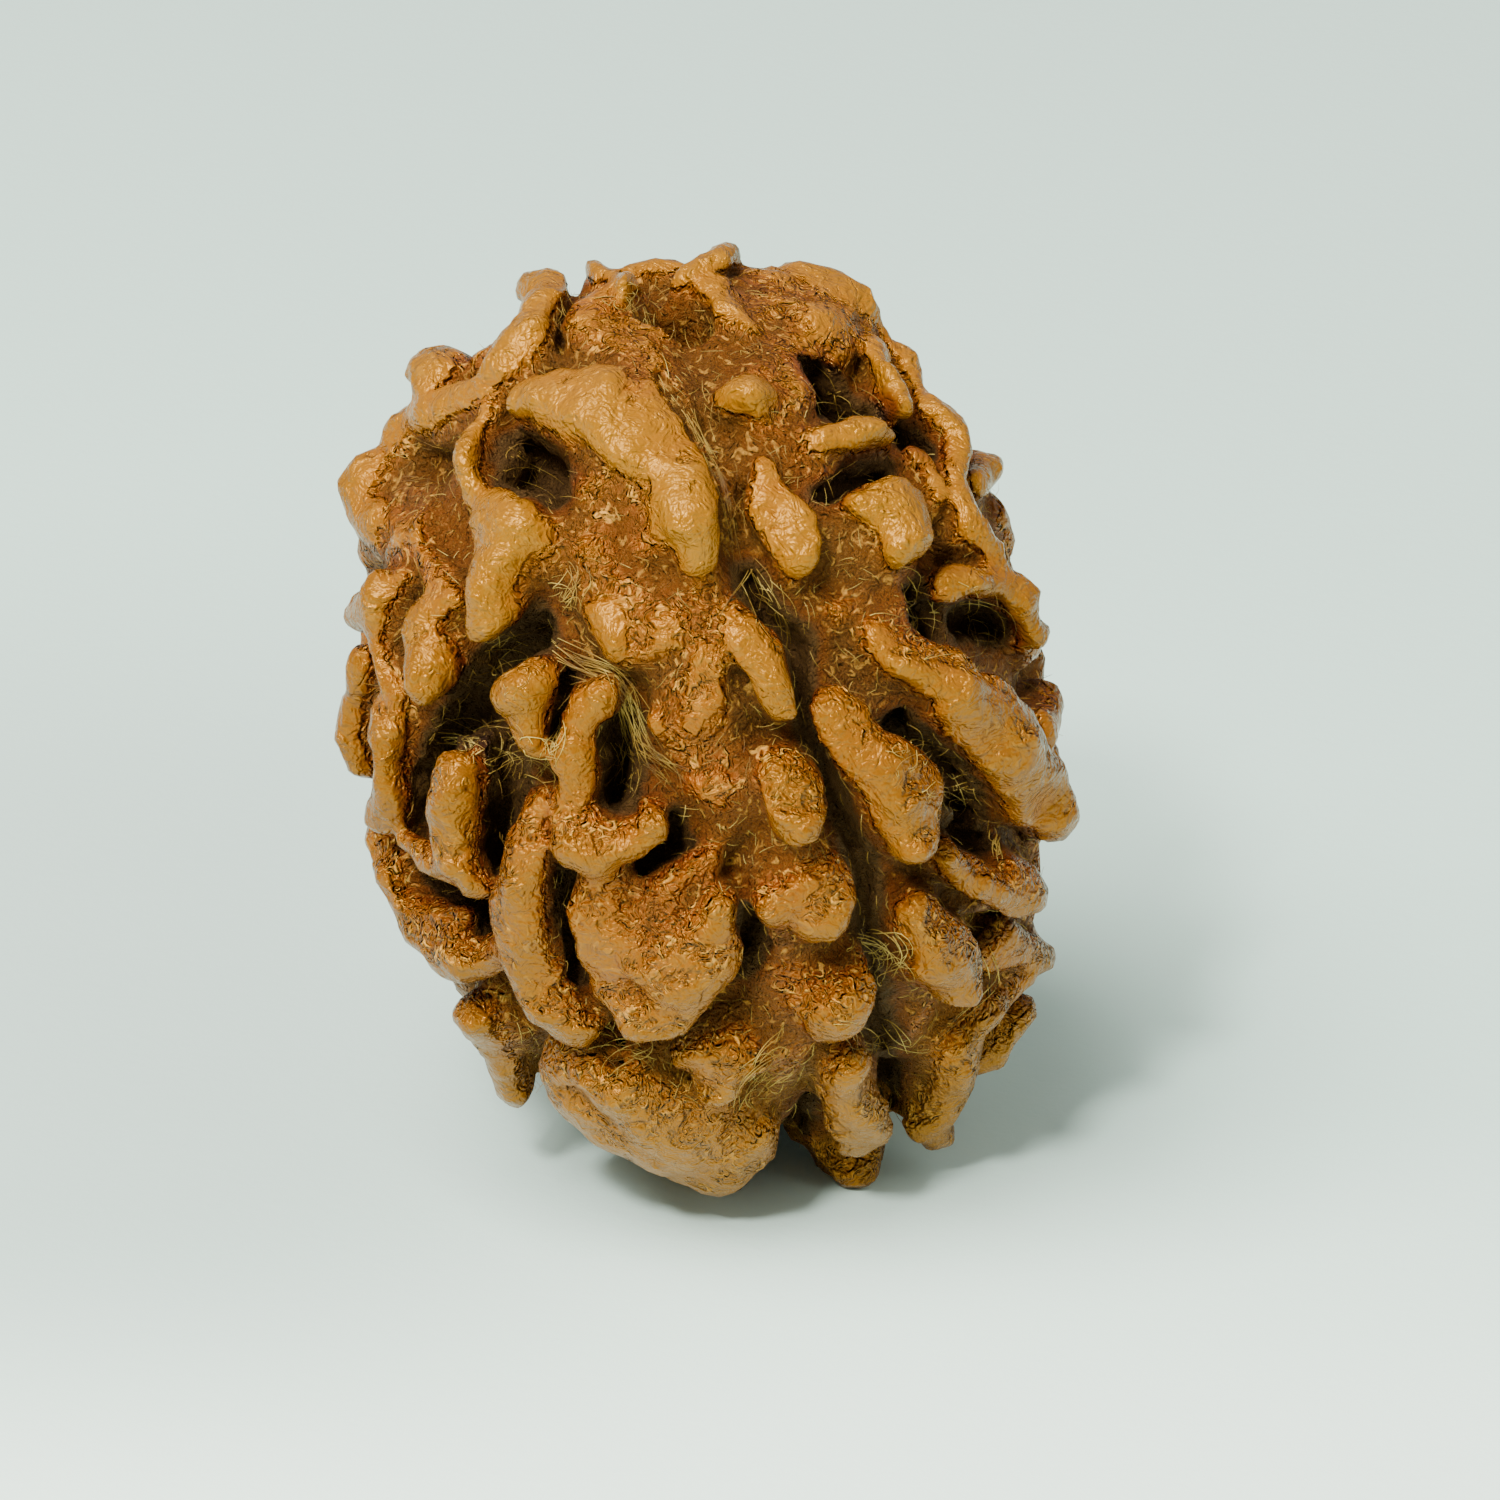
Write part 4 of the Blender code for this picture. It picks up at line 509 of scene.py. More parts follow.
def hidden_pit_chains(crests):
    """Pits in the gaps between the drops of the hidden side."""
    draw = random.Random(HIDDEN_SEED + 1)
    knots = [pair for crest in crests for pair in smooth_chain(crest)]
    chains = []
    for _try in range(PIT_TRIES):
        turn = draw.uniform(0.0, 360.0)
        latitude = math.degrees(math.asin(draw.uniform(-HIDDEN_PIT_HEIGHT, HIDDEN_PIT_HEIGHT)))
        middle = by_turn(turn, latitude, 0.0)
        slant = math.radians(draw.uniform(-HIDDEN_PIT_SLANT_DEGREES, HIDDEN_PIT_SLANT_DEGREES))
        reach = draw.uniform(*HIDDEN_PIT_REACH)
        radius = draw.uniform(*HIDDEN_PIT_RADIUS)
        if facing(middle) > HIDDEN_PIT_FACING:
            continue
        ends = []
        for sign in (1, -1):
            level = latitude + sign * math.degrees(reach * math.cos(slant) / CORE_HALF_LENGTH)
            flat = CORE_RADIUS * max(math.cos(math.radians(latitude)), POLE_FLATNESS)
            around = turn + sign * math.degrees(reach * math.sin(slant) / flat)
            ends.append(by_turn(around, level, 0.0))
        free = min(
            min((end - point).length - girth for end in (*ends, middle)) for point, girth in knots)
        if free < radius * HIDDEN_PIT_ROOM:
            continue
        if any((middle - other[0][0]).length < HIDDEN_PIT_SPACING for other in chains):
            continue
        for rise, width in HIDDEN_PIT_LEVELS:
            line = (ends[0], middle, ends[1])
            chains.append([(point + outward(point) * rise, radius * width) for point in line])
    return chains


def hidden_seam_chains():
    chains = []
    for face in range(FACES):
        turn = FIRST_SEAM_DEGREES + face * 360.0 / FACES
        points = []
        for level in HIDDEN_SEAM_LEVELS:
            sway = HIDDEN_SEAM_SWAY_DEGREES * math.sin(math.radians(level * HIDDEN_SEAM_WAVES) + face)
            surface = by_turn(turn + sway, level, 0.0)
            if facing(surface) < HIDDEN_SEAM_FACING:
                points.append((surface, HIDDEN_SEAM_RADIUS))
        if len(points) > 2:
            chains.append(points)
    return chains


def bore_chains():
    """The bore from the mouth that is seen to the lower pole, wider at both ends."""
    top = on_sight(*BORE_MOUTH_IN_VIEW, BORE_MOUTH_RISE)
    bottom = by_turn(0.0, -90.0, BORE_MOUTH_RISE)
    along = (top - bottom).normalized()
    past = along * BORE_OVERSHOOT
    chains = [[(top + past, BORE_RADIUS), (bottom - past, BORE_RADIUS)]]
    for mouth, inward in ((top, -along), (bottom, along)):
        chains.append([(mouth, BORE_MOUTH_RADIUS), (mouth + inward * BORE_MOUTH_DEPTH, BORE_RADIUS)])
    return chains


def foot_chains():
    """Knobs on the underside, round the weight, that the seed rests on."""
    chains = []
    for x, y, radius in FEET:
        low = Vector((CENTRE.x + x, CENTRE.y + y, radius - FOOT_SINK))
        high = low + Vector((-x * FOOT_LEAN, -y * FOOT_LEAN, FOOT_LENGTH))
        chains.append([(high, radius * FOOT_FLARE), (low, radius)])
    return chains


# The distance field that the fine surface is grown in
FIELD_LOW = Vector((-11.4, -11.6, -0.6))
FIELD_HIGH = Vector((11.4, 11.6, 28.0))
FIELD_STEP = 0.16
FIELD_MARGIN = 0.9  # how far round a chain its distance is worked out
ROOT_BLEND = 0.12
SWELL_BLEND = 0.30
RIDGE_BLEND = 0.42
OVERHANG_BLEND = 0.12
BACK_BLEND = 0.50
BACK_LIFT = 0.80  # how far up the slope behind a ridge lies, in ridge radii
BACK_DEPTH = 0.45  # how far in it lies, as a share of the way to the core
BACK_FATNESS = 0.85
BACK_FACING = 0.50  # a ridge has that slope where it faces the eye by more than this
BACK_FACING_SPAN = 0.30  # and has all of it where it faces the eye by this much more
BACK_THINNEST = 0.05
PIT_SHADE_REACH = 1.0  # how far from a pit its painted shade ends
PIT_SHADE_RISES = (0.25, 1.35)  # rises above the core between which the painted shade fades away
PIT_BLEND = 0.26
SEAM_BLEND = 0.16
BORE_BLEND = 0.50
PIT_RAGGED = (0.06, 0.8)  # how far a pit's wall wanders, and the length of that wandering
WARP = (0.12, 3.0)  # how far shapes wander, and the length of that wandering
LUMPS = ((0.045, 1.9), (0.018, 0.9))
WRINKLES = ((0.018, 0.75), (0.012, 0.45))
WRINKLE_WAVES = 26
WARP_SEED = 11  # with the two after it, one for each coordinate
RAGGED_SEED = 5
FAR = 9.0  # the distance where nothing is near
TINY = 1e-9  # keeps divisors above nothing
CENTRE_GUARD = 1e-6  # does the same at the middle of the core
GRID_END = 1.001  # how many steps before the grid's end its last readable place lies
GRADIENT_REACH = 0.6  # in steps of the grid
PIECE_TRIANGLES = 195000

# What the finish is told of each point
NEAR_BLUR = 0.45
WIDE_BLUR = 1.3
CREST_BASE = 0.40
CREST_NEAR = 0.9  # how much of a crest comes from a sharp bulge
CREST_WIDE = 1.2  # and how much from a broad one
CREST_RISE = 0.26  # and how much from each millimetre that it stands out
CREST_RISE_LIMITS = (-0.28, 0.34)
TIP_SOLID = 0.40  # a tip starts where less of the near room than this is solid
TIP_SPAN = 0.16
SNAP_LIMIT = 0.1  # the most that a point moves at once to lie on the field's surface
FLOOR_GUARD = 0.03  # what lies lower is set flat on the floor

# Fillings that the fine surface has besides: name, rise, points (across, up, radius) in the front view
FILLINGS = (
    ("neck of the horn", 0.95, ((-5.95, 13.0, 0.56), (-5.88, 12.4, 0.68))),
    ("base of the horn", 0.45, ((-5.75, 12.3, 0.62), (-5.75, 11.5, 0.82), (-6.2, 10.85, 0.8))),
    ("behind the left rim lobe", 0.2, ((-10.2, 7.5, 1.15), (-9.9, 6.4, 1.15), (-9.6, 5.6, 0.9))),
    ("flank of the left knob", 0.45, ((-6.3, 6.35, 1.05), (-6.0, 5.6, 0.95), (-6.7, 4.8, 0.85))),
    ("between the upper lobes", 0.45, ((-4.3, 9.2, 1.05), (-3.2, 8.2, 1.05), (-2.75, 7.2, 0.9))),
    ("corner of the curled lobe", 0.95, ((-3.95, -5.9, 0.7), (-3.85, -6.7, 0.75), (-3.1, -7.15, 0.85))),
    ("inner edge of the loop", 0.85, ((-9.05, -4.65, 0.66), (-8.2, -5.1, 0.62))),
    ("foot of the ridge in the loop", 0.95, ((-9.8, -2.45, 0.42), (-9.0, -3.05, 0.5), (-8.1, -3.75, 0.48))),
    ("blade of the wing", 1.05, (
        (5.85, 1.35, 0.92), (6.9, 0.35, 1.08), (7.6, -0.7, 0.98), (8.25, -1.65, 0.7))),
    ("back of the ridge beside the groove", 0.75, (
        (2.55, 1.05, 0.7), (3.25, 0.25, 0.8), (3.9, -0.6, 0.88), (4.5, -1.5, 0.85))),
    ("back of the long right lobe", 0.8, ((4.6, -4.55, 0.6), (5.1, -5.3, 0.86), (5.6, -6.1, 0.82))),
    ("saddle of the double knob", 0.65, ((0.9, -3.8, 0.58), (1.4, -4.3, 0.66), (2.0, -4.6, 0.7))),
    ("lobe above the fork", 0.75, ((7.1, -5.6, 0.7), (7.9, -6.0, 0.66))),
    ("belly of the bottom lobe", 0.95, (
        (-5.0, -9.55, 0.85), (-3.6, -10.3, 1.05), (-2.2, -11.1, 1.1), (-0.9, -11.5, 1.05))),
    ("back of the bottom lobe", 0.85, ((-4.2, -9.1, 0.95), (-2.9, -9.8, 1.2), (-1.5, -10.6, 1.2))),
    ("below the centre lobe", -0.15, ((-1.8, 4.6, 1.0), (-1.2, 3.6, 1.1), (-1.6, 2.2, 1.1))),
)


def wander(points, seed, wavelength, waves=18):
    """Smooth seeded noise, about -1.5 to 1.5, from plane waves that cross in all directions."""
    draw = np.random.default_rng(seed)
    total = np.zeros(points[0].shape, np.float32)
    for _wave in range(waves):
        way = draw.normal(size=3)
        way *= draw.uniform(0.7, 1.4) * 2 * np.pi / (wavelength * np.linalg.norm(way))
        phase = draw.uniform(0, 2 * np.pi)
        total += np.sin(points[0] * way[0] + points[1] * way[1] + points[2] * way[2] + phase)
    return total * math.sqrt(2.0 / waves)


def unit(vectors):
    """The same directions with length 1, along the last axis."""
    return vectors / np.maximum(np.linalg.norm(vectors, axis=-1, keepdims=True), TINY)


def smooth_min(a, b, blend):
    share = np.clip(0.5 + 0.5 * (b - a) / blend, 0.0, 1.0)
    return b + (a - b) * share - blend * share * (1.0 - share)


def smooth_max(a, b, blend):
    return -smooth_min(-a, -b, blend)


class Field:
    """Distances on a regular grid: below zero inside the seed."""

    def __init__(self):
        self.axes = [
            np.arange(low, high, FIELD_STEP, dtype=np.float32)
            for low, high in zip(FIELD_LOW, FIELD_HIGH)]
        self.places = np.meshgrid(*self.axes, indexing="ij")
        self.warped = [
            place + WARP[0] * wander(self.places, WARP_SEED + i, WARP[1])
            for i, place in enumerate(self.places)]
        self.value = self.core_distance(self.warped)
        self.rise = self.value.copy()
        # How near each place lies to a pit or groove, for the painted shade there
        self.pit = np.full(self.value.shape, FAR, np.float32)
        self.crests = np.full(self.value.shape, FAR, np.float32)
        self.ragged = PIT_RAGGED[0] * wander(self.places, RAGGED_SEED, PIT_RAGGED[1])

    def core_distance(self, places):
        shifted = [place - middle for place, middle in zip(places, CENTRE)]
        local = [sum(LEAN[row][i] * shifted[row] for row in range(3)) for i in range(3)]
        axes = egg_axes(0.0)
        near = np.sqrt(sum((part / axis) ** 2 for part, axis in zip(local, axes)))
        slope = np.sqrt(sum((part / axis**2) ** 2 for part, axis in zip(local, axes)))
        return (near * (near - 1.0) / np.maximum(slope, CENTRE_GUARD)).astype(np.float32)

    def box_of(self, chain):
        """The slice of the grid that a chain can reach."""
        reach = max(radius for _point, radius in chain) + FIELD_MARGIN
        cut = []
        for i, axis in enumerate(self.axes):
            low = min(point[i] for point, _radius in chain) - reach
            high = max(point[i] for point, _radius in chain) + reach
            cut.append(slice(int(np.searchsorted(axis, low)), int(np.searchsorted(axis, high))))
        return tuple(cut)

    def chain_distance(self, chain, box):
        """Distance to a chain of round cones, inside a slice of the grid."""
        x, y, z = (place[box] for place in self.warped)
        nearest = np.full(x.shape, FAR, np.float32)
        for (start, first), (end, last) in zip(chain, chain[1:]):
            along = end - start
            length = max(along.length_squared, TINY)
            dx, dy, dz = x - start.x, y - start.y, z - start.z
            share = np.clip((dx * along.x + dy * along.y + dz * along.z) / length, 0.0, 1.0)
            gap = np.sqrt(
                (dx - along.x * share) ** 2 + (dy - along.y * share) ** 2 + (dz - along.z * share) ** 2)
            nearest = np.minimum(nearest, gap - (first + (last - first) * share))
        return nearest

    def around(self, chain):
        """The slice that a chain reaches, once it is smooth, and its distance there."""
        chain = smooth_chain(chain)
        box = self.box_of(chain)
        return box, self.chain_distance(chain, box)

    def add_mass(self, chain, overhangs):
        box, gap = self.around(chain)
        self.value[box] = smooth_min(self.value[box], gap, SWELL_BLEND)
        if overhangs:
            self.crests[box] = np.minimum(self.crests[box], gap)

    def add_ridge(self, crest, overhangs):
        """A ridge with its root; what overhangs is kept out of the pits that are dug later."""
        crest = smooth_chain(crest)
        root = [(root_of(point), radius * ROOT_FATNESS) for point, radius in crest]
        box = self.box_of(crest + root)
        gap = self.chain_distance(crest, box)
        ridge = smooth_min(gap, self.chain_distance(root, box), ROOT_BLEND)
        self.value[box] = smooth_min(self.value[box], ridge, RIDGE_BLEND)
        if overhangs:
            self.crests[box] = np.minimum(self.crests[box], gap)
            self.add_back(crest)

    def add_back(self, crest):
        """The slope by which a ridge that faces the eye runs up into the shell."""
        back = []
        for point, radius in crest:
            turned = -(point - CENTRE).normalized().dot(VIEW_FORWARD)
            share = min(max((turned - BACK_FACING) / BACK_FACING_SPAN, 0.0), 1.0) * BACK_FATNESS
            spot = point.lerp(root_of(point), BACK_DEPTH) + VIEW_UP * (BACK_LIFT * radius * share)
            back.append((spot, max(radius * share, BACK_THINNEST)))
        box = self.box_of(back)
        self.value[box] = smooth_min(self.value[box], self.chain_distance(back, box), BACK_BLEND)

    def dig(self, chain):
        """A pit, ragged, with painted shade in it; ridges hang over it."""
        box, gap = self.around(chain)
        hollow = gap + self.ragged[box]
        self.pit[box] = np.minimum(self.pit[box], hollow)
        hollow = smooth_max(hollow, -self.crests[box], OVERHANG_BLEND)
        self.value[box] = smooth_max(self.value[box], -hollow, PIT_BLEND)

    def shade_groove(self, chain):
        """Painted shade like that of a pit, along a groove, without a hollow."""
        box, gap = self.around(chain)
        self.pit[box] = np.minimum(self.pit[box], gap)

    def cut(self, chain, blend):
        box, gap = self.around(chain)
        self.value[box] = smooth_max(self.value[box], -gap, blend)

    def at(self, grid, points):
        """A grid's values between its knots, at an array of points."""
        spot = (points - np.array(FIELD_LOW)) / FIELD_STEP
        spot = np.clip(spot, 0, np.array(grid.shape) - GRID_END)
        low = spot.astype(int)
        share = spot - low
        total = np.zeros(len(points))
        for corner in np.ndindex(2, 2, 2):
            weight = np.prod(np.where(corner, share, 1 - share), axis=1)
            total += weight * grid[tuple((low + corner).T)]
        return total

    def gradient(self, points):
        ways = []
        for i in range(3):
            step = np.zeros(3)
            step[i] = FIELD_STEP * GRADIENT_REACH
            ways.append(self.at(self.value, points + step) - self.at(self.value, points - step))
        return unit(np.stack(ways, axis=1))


def blurred(grid, reach):
    """The grid averaged over a box of that reach, twice, which is close to a round blur."""
    half = max(1, round(reach / FIELD_STEP))
    for _pass in range(2):
        for axis in range(3):
            margins = [(half + 1, half) if i == axis else (0, 0) for i in range(3)]
            padded = np.pad(grid, margins, mode="edge")
            sums = np.cumsum(padded, axis=axis, dtype=np.float64)
            count = grid.shape[axis]
            ahead = np.take(sums, np.arange(2 * half + 1, 2 * half + 1 + count), axis=axis)
            behind = np.take(sums, np.arange(count), axis=axis)
            grid = ((ahead - behind) / (2 * half + 1)).astype(np.float32)
    return grid


def surface_net(value):
    """The zero surface of a grid: one vertex in each cell that it crosses, one quad round each
    grid edge that it crosses."""
    inside = value < 0
    cells = tuple(n - 1 for n in value.shape)
    corners = list(np.ndindex(2, 2, 2))
    count = sum(
        inside[tuple(slice(c, c + n) for c, n in zip(corner, cells))].astype(np.int8)
        for corner in corners)
    active = np.argwhere((count > 0) & (count < 8))
    index = np.full(cells, -1, np.int64)
    index[tuple(active.T)] = np.arange(len(active))
    total = np.zeros((len(active), 3))
    hits = np.zeros(len(active))
    for a in corners:
        for axis in range(3):
            if a[axis]:
                continue
            b = tuple(c + (i == axis) for i, c in enumerate(a))
            first = value[tuple((active + a).T)]
            last = value[tuple((active + b).T)]
            crossed = (first < 0) != (last < 0)
            share = np.where(crossed, first / np.where(crossed, first - last, 1.0), 0.0)
            spot = active + np.array(a, float)
            spot[:, axis] += share
            total += spot * crossed[:, None]
            hits += crossed
    points = total / hits[:, None]
    quads = []
    for axis in range(3):
        u, v = (axis + 1) % 3, (axis + 2) % 3
        near = [slice(1, n) for n in cells]
        near[axis] = slice(0, cells[axis])
        far = list(near)
        far[axis] = slice(1, cells[axis] + 1)
        first, last = inside[tuple(near)], inside[tuple(far)]
        edges = np.argwhere(first != last)
        flip = first[tuple(edges.T)]
        offset = np.ones(3, int)
        offset[axis] = 0
        base = edges + offset
        step_u, step_v = np.eye(3, dtype=int)[u], np.eye(3, dtype=int)[v]
        ring = [base - step_u - step_v, base - step_v, base, base - step_u]
        quad = np.stack([index[tuple(cell.T)] for cell in ring], axis=1)
        quad[~flip] = quad[~flip][:, ::-1]
        quads.append(quad)
    return points * FIELD_STEP + np.array(FIELD_LOW), np.concatenate(quads)


def grow_field():
    """The whole seed as distances: masses and ridges, then pits, seams and the bore."""
    field = Field()
    front = front_crests()
    hidden = hidden_crests(front)
    for swell in front_masses(FRONT_SWELLS) + foot_chains():
        field.add_mass(swell, False)
    for filling in front_masses(FILLINGS):
        field.add_mass(filling, True)
    for crest in front:
        field.add_ridge(crest, True)
    for crest in hidden:
        field.add_ridge(crest, False)
    for chain in front_pit_chains(FRONT_PITS, PIT_MOUTH_RISE) + hidden_pit_chains(front + hidden):
        field.dig(chain)
    for amount, wavelength in LUMPS:
        field.value += amount * wander(field.places, round(wavelength * 100), wavelength)
    for chain in front_pit_chains(FRONT_SEAMS, SEAM_MOUTH_RISE) + hidden_seam_chains():
        field.cut(chain, SEAM_BLEND)
    # Painted shade along the central and lower grooves, as in a pit
    for chain in front_pit_chains(FRONT_SEAMS[1:3], SEAM_MOUTH_RISE):
        field.shade_groove(chain)
    for chain in bore_chains():
        field.cut(chain, BORE_BLEND)
    field.value = np.maximum(field.value, -field.places[2])
    return field


def placed(name, data):
    """A new object in the scene."""
    thing = bpy.data.objects.new(name, data)
    bpy.context.scene.collection.objects.link(thing)
    return thing


def mesh_of(name, points, faces):
    """A mesh object in metres from points in millimetres."""
    mesh = bpy.data.meshes.new(name)
    mesh.from_pydata((np.asarray(points) * METRES_PER_MM).tolist(), [], faces)
    return placed(name, mesh)


def keep_outer_body(mesh):
    """Drops loose scraps and sealed hollows: of all shells only the largest stays."""
    work = bmesh.new()
    work.from_mesh(mesh)
    unseen = set(work.verts)
    shells = []
    while unseen:
        shell, waiting = [], [unseen.pop()]
        while waiting:
            vert = waiting.pop()
            shell.append(vert)
            for edge in vert.link_edges:
                other = edge.other_vert(vert)
                if other in unseen:
                    unseen.remove(other)
                    waiting.append(other)
        shells.append(shell)
    shells.sort(key=len, reverse=True)
    for shell in shells[1:]:
        bmesh.ops.delete(work, geom=shell, context="VERTS")
    work.to_mesh(mesh)
    work.free()


def numbers_of(items, name, kind=np.float32):
    """One property of all the items of a mesh, as a flat array."""
    width = 3 if name in ("co", "normal", "vertices") else 1
    flat = np.empty(len(items) * width, kind)
    items.foreach_get(name, flat)
    return flat.reshape(-1, 3) if width == 3 else flat


def points_of(mesh):
    return numbers_of(mesh.vertices, "co").astype(float) / METRES_PER_MM


def set_points(mesh, points):
    mesh.vertices.foreach_set("co", (points * METRES_PER_MM).astype(np.float32).ravel())
    mesh.update()


def thin_out(thing, most):
    """Fewer triangles where the surface is plain, if there are more than the most."""
    triangles = sum(len(face.vertices) - 2 for face in thing.data.polygons)
    if triangles <= most:
        return
    thin = thing.modifiers.new("thin", "DECIMATE")
    thin.ratio = most / triangles
    seen = bpy.context.evaluated_depsgraph_get()
    mesh = bpy.data.meshes.new_from_object(thing.evaluated_get(seen))
    thing.modifiers.clear()
    thing.data = mesh


def make_seed():
    """The fine surface, with what its finish needs to know at every point."""
    field = grow_field()
    points, quads = surface_net(field.value)
    seed = mesh_of("seed_surface", points, quads.tolist())
    keep_outer_body(seed.data)
    thin_out(seed, PIECE_TRIANGLES)
    points = points_of(seed.data)
    for _pass in range(2):
        way = field.gradient(points)
        points -= way * np.clip(field.at(field.value, points), -SNAP_LIMIT, SNAP_LIMIT)[:, None]
    way = field.gradient(points)

    solid = np.clip(0.5 - field.value / FIELD_STEP, 0.0, 1.0)
    near = field.at(blurred(solid, NEAR_BLUR), points)
    wide = field.at(blurred(solid, WIDE_BLUR), points)
    rise = field.at(field.rise, points)
    # How far a point stands out, from how little of the room round it is solid: low in recesses, where the
    # finish paints shade
    crest = CREST_BASE + (0.5 - near) * CREST_NEAR + (0.5 - wide) * CREST_WIDE
    crest = np.clip(crest + np.clip((rise - 1.0) * CREST_RISE, *CREST_RISE_LIMITS), 0.0, 1.0)
    tip = np.clip((TIP_SOLID - near) / TIP_SPAN, 0.0, 1.0)
    plain = unit(points - np.array(CENTRE))
    upper = np.clip(0.5 + 0.5 * ((way - plain) @ np.array(VIEW_UP)), 0.0, 1.0)
    # Painted shade at pits and grooves, faded out where the shell stands high
    pit = 1.0 - np.clip(field.at(field.pit, points) / PIT_SHADE_REACH, 0.0, 1.0)
    pit *= np.clip((PIT_SHADE_RISES[1] - rise) / (PIT_SHADE_RISES[1] - PIT_SHADE_RISES[0]), 0.0, 1.0)

    above = points[:, 2] > FLOOR_GUARD
    places = [points[:, i] for i in range(3)]
    for amount, wavelength in WRINKLES:
        rough = wander(places, round(wavelength * 1000), wavelength, WRINKLE_WAVES)
        points += way * (amount * rough * above)[:, None]
    points[~above, 2] = 0.0
    set_points(seed.data, points)
    for name, values in (("crest", crest), ("pit", pit), ("tip", tip), ("upper", upper)):
        layer = seed.data.attributes.new(name, "FLOAT", "POINT")
        layer.data.foreach_set("value", values.astype(np.float32))
    seed.data.shade_smooth()
    return seed


# Lint: short fuzz that grows out of the valleys, as three-sided tapered tubes, in millimetres
FUZZ_SEED = 21
FUZZ_HAIRS = 9000
FUZZ_LENGTH = (0.25, 0.80)
FUZZ_RADIUS = (0.008, 0.014)
FUZZ_KNOTS = 4
FUZZ_LIFT = (0.15, 0.75)
FUZZ_CURL = 0.7
FUZZ_CREST = 0.46  # hairs grow where the crest value is lower than this
FUZZ_CREST_SPAN = 0.22
PIT_BALDNESS = 0.85  # the share of the hairs that a pit lacks
FUZZ_LOWEST = 0.8  # no hair grows nearer the floor
HAIR_DROOP = 0.6  # how much a hair bends back down on its way out
HAIR_ROOT = 0.06  # how deep a hair's root sits in the shell
HAIR_TIP = 0.35  # share of its radius that a hair has left at its tip
ACROSS_HAIRS = (0.36, 0.48, 0.80)  # a direction that hardly any hair follows

